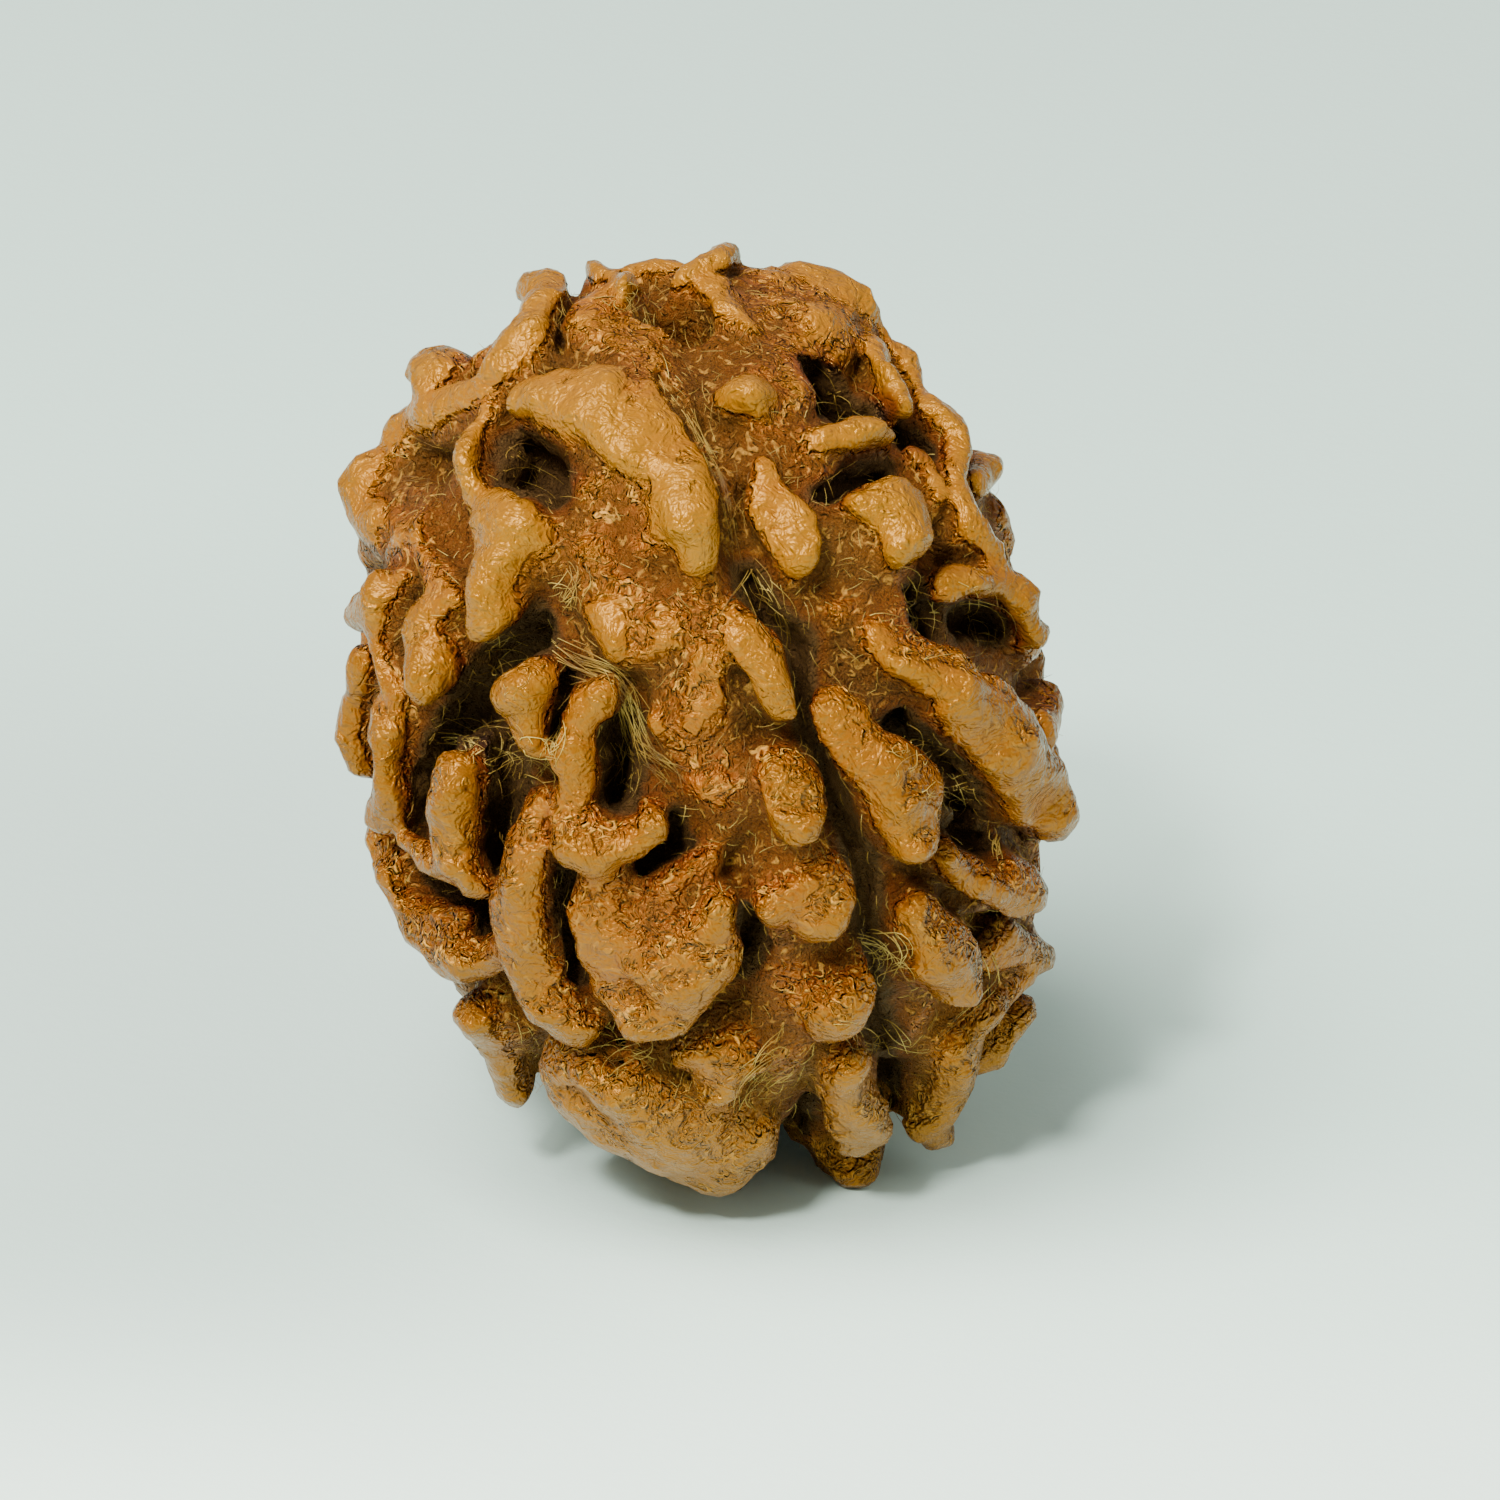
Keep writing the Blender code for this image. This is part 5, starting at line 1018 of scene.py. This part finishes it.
# Loose strands: name, how many, spread, radius, lift above the shell, points in the front view
STRAND_SEED = 33
STRAND_KNOTS = 9
STRAND_STEP = 0.3
STRAND_PART = (0.25, 0.75)  # the share of its route that one strand of many follows
FEW_STRANDS = 3  # where no more than these share a route, each follows all of it
STRAND_SWAY = 6.3  # radians, about a whole turn
STRAND_BOW = (0.3, 1.5)  # in spreads
STRAND_WAVES = (4.0, 3.1)  # how far a strand bows on its way, in radians across and up
STRAND_END_LIFT = 0.3  # the share of its lift that a strand keeps at its ends
STRAND_GIRTH = (0.7, 1.2)  # share of its route's radius
STRANDS = (
    ("strand over the middle", 46, 0.17, 0.017, 0.16, (
        (-5.7, 3.0), (-4.9, 2.45), (-4.1, 2.2), (-3.55, 1.55), (-3.3, 0.6), (-2.9, -0.2), (-2.3, -0.5),
        (-1.8, -1.3))),
    ("tuft by the centre lobe", 14, 0.25, 0.017, 0.12, ((-5.2, 5.3), (-5.0, 4.7), (-5.0, 4.1))),
    ("tuft in the great pit", 26, 0.4, 0.017, 0.1, ((-7.3, 0.2), (-6.7, -0.3), (-6.3, -0.6))),
    ("tuft by the long ridge", 16, 0.14, 0.017, 0.1, ((-5.4, 0.9), (-5.6, 0.3), (-5.75, -0.4))),
    ("tuft by the upright ridge", 14, 0.28, 0.016, 0.08, ((-8.8, 0.8), (-8.2, 0.3), (-7.6, 0.2))),
    ("hairs across the great pit", 12, 0.5, 0.013, 0.05, ((-7.9, 2.8), (-7.0, 2.2), (-6.3, 2.5))),
    ("hairs in the left pit", 7, 0.3, 0.012, 0.04, ((-6.8, 8.3), (-6.3, 7.7), (-5.6, 7.2))),
    ("hair in the right pit", 2, 0.06, 0.018, 0.1, ((1.65, 10.55), (1.95, 10.1), (2.3, 9.7))),
    ("hairs in the right pit", 8, 0.3, 0.013, 0.05, ((2.1, 10.6), (2.6, 10.1), (3.4, 9.8))),
    ("bristles along the seam", 22, 0.06, 0.013, 0.04, (
        (-2.3, 10.3), (-1.75, 9.6), (-1.35, 8.8), (-0.95, 8.0), (-0.65, 7.1), (-0.45, 6.0), (-0.35, 5.2))),
    ("hair below the centre lobe", 2, 0.05, 0.016, 0.14, ((0.0, 5.2), (-0.4, 4.5), (-0.9, 3.7))),
    ("hairs in the groove", 16, 0.22, 0.014, 0.06, ((-0.1, 5.3), (0.6, 4.2), (1.2, 3.2))),
    ("strap below the wing", 10, 0.06, 0.026, 0.2, ((6.95, -2.3), (7.0, -2.75), (7.1, -3.2))),
    ("tuft below the wing", 16, 0.26, 0.016, 0.1, ((5.4, -0.7), (5.7, -1.0), (6.0, -1.3))),
    ("tuft above the wing", 12, 0.28, 0.016, 0.1, ((4.3, 0.4), (4.6, 0.1), (5.0, -0.3))),
    ("tuft left of the arch", 16, 0.34, 0.016, 0.1, ((4.3, 4.5), (4.9, 3.9), (5.6, 3.3))),
    ("hairs under the arch", 10, 0.35, 0.014, 0.06, ((6.0, 4.2), (6.6, 3.7), (7.2, 3.3))),
    ("tuft by the long right lobe", 24, 0.34, 0.017, 0.14, ((3.3, -5.4), (3.8, -5.8), (4.4, -6.2))),
    ("loops by the long right lobe", 5, 0.16, 0.017, 0.22, (
        (3.7, -7.6), (4.1, -8.2), (4.8, -8.4), (5.3, -7.9))),
    ("loop over the fork", 3, 0.1, 0.018, 0.25, ((6.7, -5.8), (6.95, -6.5), (6.3, -7.2), (5.4, -8.0))),
    ("tuft beside the low knob", 22, 0.26, 0.017, 0.14, ((0.0, -10.0), (0.4, -9.3), (0.9, -8.7))),
    ("curl over the bottom lobe", 4, 0.1, 0.018, 0.2, (
        (-3.4, -8.4), (-3.0, -8.8), (-2.6, -8.5), (-2.9, -8.1))),
    ("hairs under the curled lobe", 14, 0.3, 0.015, 0.1, ((-4.4, -8.6), (-3.6, -8.7), (-2.6, -8.5))),
    ("hairs beside the hook", 14, 0.26, 0.014, 0.06, ((-3.9, 0.7), (-3.6, -0.3), (-3.8, -1.2))),
    ("hairs by the round knob", 12, 0.24, 0.014, 0.08, ((2.8, -7.9), (3.4, -8.2), (3.8, -8.9))),
    ("hairs by the bore", 10, 0.22, 0.014, 0.06, ((-4.0, 13.0), (-3.6, 12.8), (-3.2, 12.9))),
)


def tubes_of(paths, radii):
    """Closed three-sided tubes along many paths of one length, as points and faces."""
    many, knots = radii.shape
    along = unit(np.gradient(paths, axis=1))
    aside = unit(np.cross(along, np.array(ACROSS_HAIRS)))
    across = np.cross(along, aside)
    ring = []
    for corner in range(3):
        angle = 2 * np.pi * corner / 3
        ring.append(paths + radii[:, :, None] * (math.cos(angle) * aside + math.sin(angle) * across))
    points = np.stack(ring, axis=2).reshape(-1, 3)
    first = (np.arange(many) * knots * 3)[:, None]
    faces = []
    for knot in range(knots - 1):
        for corner in range(3):
            after = (corner + 1) % 3
            here, there = knot * 3, knot * 3 + 3
            quad = np.array([here + corner, here + after, there + after, there + corner])
            faces.extend((first + quad).tolist())
    faces.extend((first + np.array([2, 1, 0])).tolist())
    last = (knots - 1) * 3
    faces.extend((first + np.array([last, last + 1, last + 2])).tolist())
    return points, faces


def hair_radii(thick, knots):
    return thick[:, None] * np.linspace(1.0, HAIR_TIP, knots)[None, :]


def fuzz_paths(seed):
    """Short curved hairs that leave the shell where it is a valley."""
    draw = np.random.default_rng(FUZZ_SEED)
    mesh = seed.data
    mesh.calc_loop_triangles()
    corners = numbers_of(mesh.loop_triangles, "vertices", np.int32)
    area = numbers_of(mesh.loop_triangles, "area")
    points = points_of(mesh)
    normals = numbers_of(mesh.vertices, "normal")
    crest, pit = (numbers_of(mesh.attributes[name].data, "value") for name in ("crest", "pit"))
    valley = np.clip((FUZZ_CREST - crest) / FUZZ_CREST_SPAN, 0.0, 1.0)
    wanted = valley * (1.0 - PIT_BALDNESS * pit) * (points[:, 2] > FUZZ_LOWEST)
    chance = wanted[corners].mean(axis=1) * area
    chosen = corners[draw.choice(len(corners), FUZZ_HAIRS, p=chance / chance.sum())]
    share = draw.dirichlet((1.0, 1.0, 1.0), FUZZ_HAIRS)[:, :, None]
    base = (points[chosen] * share).sum(axis=1)
    out = unit((normals[chosen] * share).sum(axis=1))
    drift = unit(np.cross(out, draw.normal(size=(FUZZ_HAIRS, 3))))
    turn = np.cross(out, drift) * draw.uniform(-FUZZ_CURL, FUZZ_CURL, (FUZZ_HAIRS, 1))
    length = draw.uniform(*FUZZ_LENGTH, (FUZZ_HAIRS, 1))
    rise = draw.uniform(*FUZZ_LIFT, (FUZZ_HAIRS, 1))
    paths = []
    for t in np.linspace(0.0, 1.0, FUZZ_KNOTS):
        bent = drift * t + turn * t**2 + out * rise * (t - HAIR_DROOP * t**2)
        paths.append(base - out * HAIR_ROOT + length * bent)
    return np.stack(paths, axis=1), draw.uniform(*FUZZ_RADIUS, FUZZ_HAIRS)


def strand_paths(seed):
    """The loose strands, each projected along the line of sight on to the shell and lifted a little."""
    draw = random.Random(STRAND_SEED)
    tree = BVHTree.FromObject(seed, bpy.context.evaluated_depsgraph_get())
    paths, thick = [], []
    for _name, count, spread, radius, lift, route in STRANDS:
        line = smooth_chain([(Vector((across, up, 0.0)), 0.0) for across, up in route], STRAND_STEP)
        for _strand in range(count):
            part = draw.uniform(*STRAND_PART) if count > FEW_STRANDS else 1.0
            start = draw.uniform(0.0, 1.0 - part) * (len(line) - 1)
            reach = part * (len(line) - 1)
            aside = Vector((draw.gauss(0.0, spread), draw.gauss(0.0, spread), 0.0))
            sway = draw.uniform(0.0, STRAND_SWAY)
            bow = draw.uniform(*STRAND_BOW) * spread
            path = []
            for knot in range(STRAND_KNOTS):
                t = knot / (STRAND_KNOTS - 1)
                spot = line[min(round(start + reach * t), len(line) - 1)][0] + aside
                spot.x += bow * math.sin(sway + STRAND_WAVES[0] * t)
                spot.y += bow * math.cos(sway + STRAND_WAVES[1] * t)
                way = (in_view(spot.x, spot.y) - EYE).normalized()
                hit, normal, _face, _far = tree.ray_cast(EYE * METRES_PER_MM, way)
                if hit is None:
                    break
                raised = (normal - way) * lift * 0.5 * (STRAND_END_LIFT + math.sin(math.pi * t))
                path.append(hit / METRES_PER_MM + raised)
            if len(path) < STRAND_KNOTS:
                continue
            path = np.array(path)
            for _pass in range(2):
                path[1:-1] = 0.25 * path[:-2] + 0.5 * path[1:-1] + 0.25 * path[2:]
            paths.append(path)
            thick.append(radius * draw.uniform(*STRAND_GIRTH))
    return np.array(paths), np.array(thick)


def make_lint(seed):
    """The fuzz of the valleys and the loose strands, one piece each."""
    pieces = []
    for name, (paths, thick) in (("fuzz", fuzz_paths(seed)), ("strands", strand_paths(seed))):
        points, faces = tubes_of(paths, hair_radii(thick, paths.shape[1]))
        piece = mesh_of(name, points, faces)
        piece.data.shade_smooth()
        pieces.append(piece)
    return pieces


def linear(red, green, blue):
    """A colour given as 0 to 255, as shaders take it."""
    parts = [value / 255.0 for value in (red, green, blue)]
    return (*[v / 12.92 if v <= 0.04045 else ((v + 0.055) / 1.055) ** 2.4 for v in parts], 1.0)


class Finish:
    """A procedural material, with short words for the nodes that it uses. Lengths are in millimetres."""

    def __init__(self, name):
        self.material = bpy.data.materials.new(name)
        self.material.use_nodes = True
        self.tree = self.material.node_tree
        self.shader = self.tree.nodes["Principled BSDF"]
        places = self.node("TexCoord").outputs["Object"]
        self.millimetres = self.node(
            "VectorMath", ((0, places), ("Scale", 1.0 / METRES_PER_MM)), operation="SCALE").outputs[0]

    def node(self, kind, given=(), **settings):
        """A new node with its settings, and what is given to its sockets: a name or number and a value."""
        made = self.tree.nodes.new("ShaderNode" + kind)
        for key, value in settings.items():
            setattr(made, key, value)
        for socket, value in given:
            self.join(value, made.inputs[socket])
        return made

    def join(self, value, socket):
        if isinstance(value, bpy.types.NodeSocket):
            self.tree.links.new(value, socket)
        else:
            socket.default_value = value

    def layer(self, name):
        return self.node("Attribute", attribute_name=name).outputs["Fac"]

    def noise(self, per_mm, detail=3.0, roughness=0.55, distortion=0.0):
        return self.node("TexNoise", (
            ("Vector", self.millimetres), ("Scale", per_mm), ("Detail", detail),
            ("Roughness", roughness), ("Distortion", distortion))).outputs["Fac"]

    def cells(self, per_mm):
        return self.node("TexVoronoi", (
            ("Vector", self.millimetres), ("Scale", per_mm))).outputs["Distance"]

    def sums(self, operation, first, second=0.5, third=0.5):
        return self.node("Math", enumerate((first, second, third)), operation=operation).outputs[0]

    def times(self, first, second):
        return self.sums("MULTIPLY", first, second)

    def plus(self, first, second):
        return self.sums("ADD", first, second)

    def larger(self, first, second):
        return self.sums("MAXIMUM", first, second)

    def fade(self, value, low, high, first=0.0, last=1.0):
        """The value carried from low..high to first..last, and held at its ends."""
        return self.node(
            "MapRange", enumerate((value, low, high, first, last)),
            clamp=True, interpolation_type="SMOOTHSTEP").outputs[0]

    def offset(self, value, amount):
        """A value round 0.5 carried to a value round 0, times an amount."""
        return self.sums("MULTIPLY_ADD", value, amount, -0.5 * amount)

    def line(self, value, width):
        """1 along the lines where a noise crosses its middle, fading out over a width."""
        return self.fade(self.sums("ABSOLUTE", self.sums("SUBTRACT", value, 0.5)), 0.0, width, 1.0, 0.0)

    def axis(self, which):
        """One of the three coordinates in millimetres."""
        return self.node("SeparateXYZ", ((0, self.millimetres),)).outputs[which]

    def ramp(self, value, stops):
        made = self.node("ValToRGB", ((0, value),))
        band = made.color_ramp
        while len(band.elements) < len(stops):
            band.elements.new(0.5)
        for element, (place, colour) in zip(band.elements, stops):
            element.position = place
            element.color = linear(*colour)
        return made.outputs[0]

    def mix(self, share, first, second):
        """From the first colour to the second; they go to the node's sockets 6 and 7."""
        return self.node("Mix", ((0, share), (6, first), (7, second)), data_type="RGBA").outputs[2]

    def bump(self, height, reach_mm, strength=1.0, normal=None):
        given = [("Strength", strength), ("Distance", reach_mm * METRES_PER_MM), ("Height", height)]
        if normal:
            given.append(("Normal", normal))
        return self.node("Bump", given).outputs[0]


def shell_finish():
    """Dried seed shell: waxy golden tips, crinkled red-brown roots, fuzzy valleys, dark pits."""
    f = Finish("seed_shell")
    f.shader.inputs["Specular IOR Level"].default_value = 0.90
    f.shader.inputs["Specular Tint"].default_value = linear(255, 190, 92)
    crest = f.layer("crest")
    tip = f.layer("tip")
    pit = f.layer("pit")
    upper = f.layer("upper")
    patches = f.noise(0.28, 3.0)
    blotch = f.noise(0.95, 3.0, 0.6, 0.8)
    worm = f.noise(1.4, 1.0, 0.5, 1.8)
    crinkle = f.noise(2.6, 1.0, 0.5, 1.4)
    fuzz = f.noise(11.0, 3.0, 0.75, 1.6)

    # Where the shell is high, rubbed smooth, rooted in what is behind it and crinkled, and the painted shade
    # in its creases
    level = f.plus(f.plus(crest, f.offset(blotch, 0.50)), f.offset(crinkle, 0.25))
    rubbed = f.fade(f.plus(tip, f.offset(blotch, 0.6)), 0.25, 0.60)
    rooted = f.fade(f.plus(upper, f.offset(blotch, 1.1)), 0.45, 0.95)
    rooted = f.times(rooted, f.fade(rubbed, 0.0, 1.0, 1.0, 0.45))
    crinkled = f.larger(f.fade(rooted, 0.0, 1.0, 0.12, 1.0), f.fade(level, 0.70, 0.45, 0.0, 0.7))
    # Painted shade in the creases of the crinkles
    crease_shade = f.times(f.larger(f.line(worm, 0.08), f.times(f.line(crinkle, 0.10), 0.75)), crinkled)
    valley = f.fade(level, 0.50, 0.25)

    # The top of the seed, red-brown stains, painted highlight flecks, the foot, specks, fibres, and the
    # painted shade at pits and grooves
    top = f.times(f.fade(f.axis(2), 15.0, 24.0), f.fade(level, 0.35, 0.65, 0.05, 0.32))
    stain = f.times(rooted, f.fade(level, 1.10, 0.75, 0.35, 1.0))
    stain = f.larger(
        f.times(stain, f.fade(patches, 0.35, 0.60, 0.45, 1.0)),
        f.times(f.fade(patches, 0.45, 0.62), f.fade(level, 0.80, 0.45)))
    # Painted highlight flecks on the tops of the crinkles
    painted_glints = f.times(f.fade(crinkle, 0.58, 0.70), crinkled)
    foot = f.times(f.fade(f.axis(2), 9.0, 3.0), 0.45)
    specks = f.times(f.fade(f.cells(1.8), 0.17, 0.07), f.fade(blotch, 0.45, 0.60))
    fibres = f.times(f.fade(fuzz, 0.52, 0.68), valley)
    # Painted shade at pits and grooves, wandering with the blotches
    edge = f.plus(pit, f.offset(blotch, 0.45))

    # The shell's tone by how far it stands out: paler tips and darker valleys, partly the shell's own colour
    # and partly painted shade in its recesses
    colour = f.ramp(level, (
        (0.10, (54, 22, 8)), (0.28, (70, 29, 8)), (0.42, (88, 39, 7)), (0.56, (112, 56, 6)),
        (0.72, (120, 67, 5)), (1.00, (112, 66, 4))))
    for share, shade in (
            (top, (160, 108, 10)),
            (f.times(stain, 0.32), (122, 46, 5)),
            # Painted highlight flecks on the crinkles
            (f.times(painted_glints, 0.70), (222, 160, 66)),
            # Painted shade in the creases of the crinkles
            (f.times(crease_shade, 0.40), (84, 30, 4)),
            (foot, (136, 90, 20)),
            (f.times(specks, 0.60), (78, 42, 18)),
            (f.times(fibres, 0.40), (160, 112, 54)),
            # Red-brown stain with painted shade round a pit's rim, and painted shade near black inside it
            (f.fade(edge, 0.10, 0.55, 0.0, 0.85), (84, 30, 7)),
            (f.fade(edge, 0.50, 0.85), (40, 26, 18))):
        colour = f.mix(share, colour, linear(*shade))
    f.join(colour, f.shader.inputs["Base Color"])

    rough = f.fade(level, 0.25, 0.60, 0.60, 0.25)
    rough = f.sums("SUBTRACT", rough, f.times(rubbed, 0.08))
    rough = f.plus(rough, f.times(foot, 0.15))
    f.join(rough, f.shader.inputs["Roughness"])

    sunk = f.times(crinkled, -1.0)
    relief = f.bump(blotch, 0.50, 0.6)
    for height, reach_mm in (
            (f.times(f.line(worm, 0.20), sunk), 0.22),
            (f.times(f.line(crinkle, 0.24), sunk), 0.14),
            (f.times(fuzz, f.fade(valley, 0.0, 1.0, 0.08, 1.0)), 0.10)):
        relief = f.bump(height, reach_mm, 1.0, relief)
    f.join(relief, f.shader.inputs["Normal"])
    return f.material


def lint_finish():
    """Dry plant fibre, from straw yellow to grey brown."""
    f = Finish("lint")
    colour = f.ramp(f.noise(0.8, 2.0), (
        (0.30, (100, 66, 18)), (0.50, (158, 122, 36)), (0.70, (196, 170, 84))))
    f.join(colour, f.shader.inputs["Base Color"])
    f.shader.inputs["Roughness"].default_value = 0.75
    return f.material


def paper_finish():
    """Matt paper, with painted light: brightest in front of the seed, and a painted shadow to its left."""
    f = Finish("paper")
    tooth = f.noise(2.2, 5.0, 0.6)
    # Painted light: the paper brightens towards the front
    colour = f.mix(f.fade(f.axis(1), 4.0, -24.0), linear(198, 224, 208), linear(234, 255, 237))
    # Painted shadow to the left of the seed
    left = f.times(f.fade(f.axis(0), 6.0, -16.0), f.fade(f.axis(1), -24.0, -4.0))
    left = f.times(left, f.fade(f.axis(1), 50.0, 18.0))
    colour = f.mix(left, colour, linear(182, 203, 190))
    f.join(colour, f.shader.inputs["Base Color"])
    f.shader.inputs["Roughness"].default_value = 0.9
    f.join(f.bump(tooth, 0.05, 0.35), f.shader.inputs["Normal"])
    return f.material


# The stage, in metres. Lights: name, place, width, power
SHEET_WIDTH = 3.2
LIGHTS = (
    ("key", (-0.12, -0.10, 0.31), 0.22, 2.6),
    ("glint", (-0.08, -0.20, 0.24), 0.038, 1.1),
    ("fill", (0.28, -0.12, 0.26), 0.30, 0.4),
)
ROOM_COLOUR = (0.93, 0.97, 1.0, 1.0)
ROOM_STRENGTH = 0.44
SENSOR_WIDTH = 36.0  # millimetres, as the camera takes it
NEAREST_SEEN = 0.01


def make_stage():
    """A pale sheet that fills the view."""
    bpy.ops.mesh.primitive_plane_add(size=SHEET_WIDTH)
    sheet = bpy.context.active_object
    sheet.name = "sheet"
    sheet.data.materials.append(paper_finish())


def make_lights():
    """Square soft lights aimed at the seed, and the light of the room."""
    for name, place, width, power in LIGHTS:
        light = bpy.data.lights.new(name, "AREA")
        light.shape = "SQUARE"
        light.size = width
        light.energy = power
        lamp = placed(name, light)
        lamp.location = place
        aim = CENTRE * METRES_PER_MM - Vector(place)
        lamp.rotation_euler = aim.to_track_quat("-Z", "Y").to_euler()
    world = bpy.data.worlds.new("room")
    world.use_nodes = True
    sky = world.node_tree.nodes["Background"]
    sky.inputs["Color"].default_value = ROOM_COLOUR
    sky.inputs["Strength"].default_value = ROOM_STRENGTH
    bpy.context.scene.world = world


def make_camera():
    """The photograph's eye, with a lens that shows VIEW_WIDTH at the seed."""
    lens = bpy.data.cameras.new("camera")
    lens.sensor_width = SENSOR_WIDTH
    lens.lens = lens.sensor_width * EYE_DISTANCE / VIEW_WIDTH
    lens.clip_start = NEAREST_SEEN
    eye = placed("camera", lens)
    eye.location = EYE * METRES_PER_MM
    eye.rotation_euler = VIEW_FORWARD.to_track_quat("-Z", "Y").to_euler()
    bpy.context.scene.camera = eye


def main():
    make_camera()
    seed = make_seed()
    seed.data.materials.append(shell_finish())
    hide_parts(NODE)
    lint = make_lint(seed)
    straw = lint_finish()
    for piece in lint:
        piece.data.materials.append(straw)
    for piece in [seed] + lint:
        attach(piece, "root")
    make_stage()
    make_lights()


main()
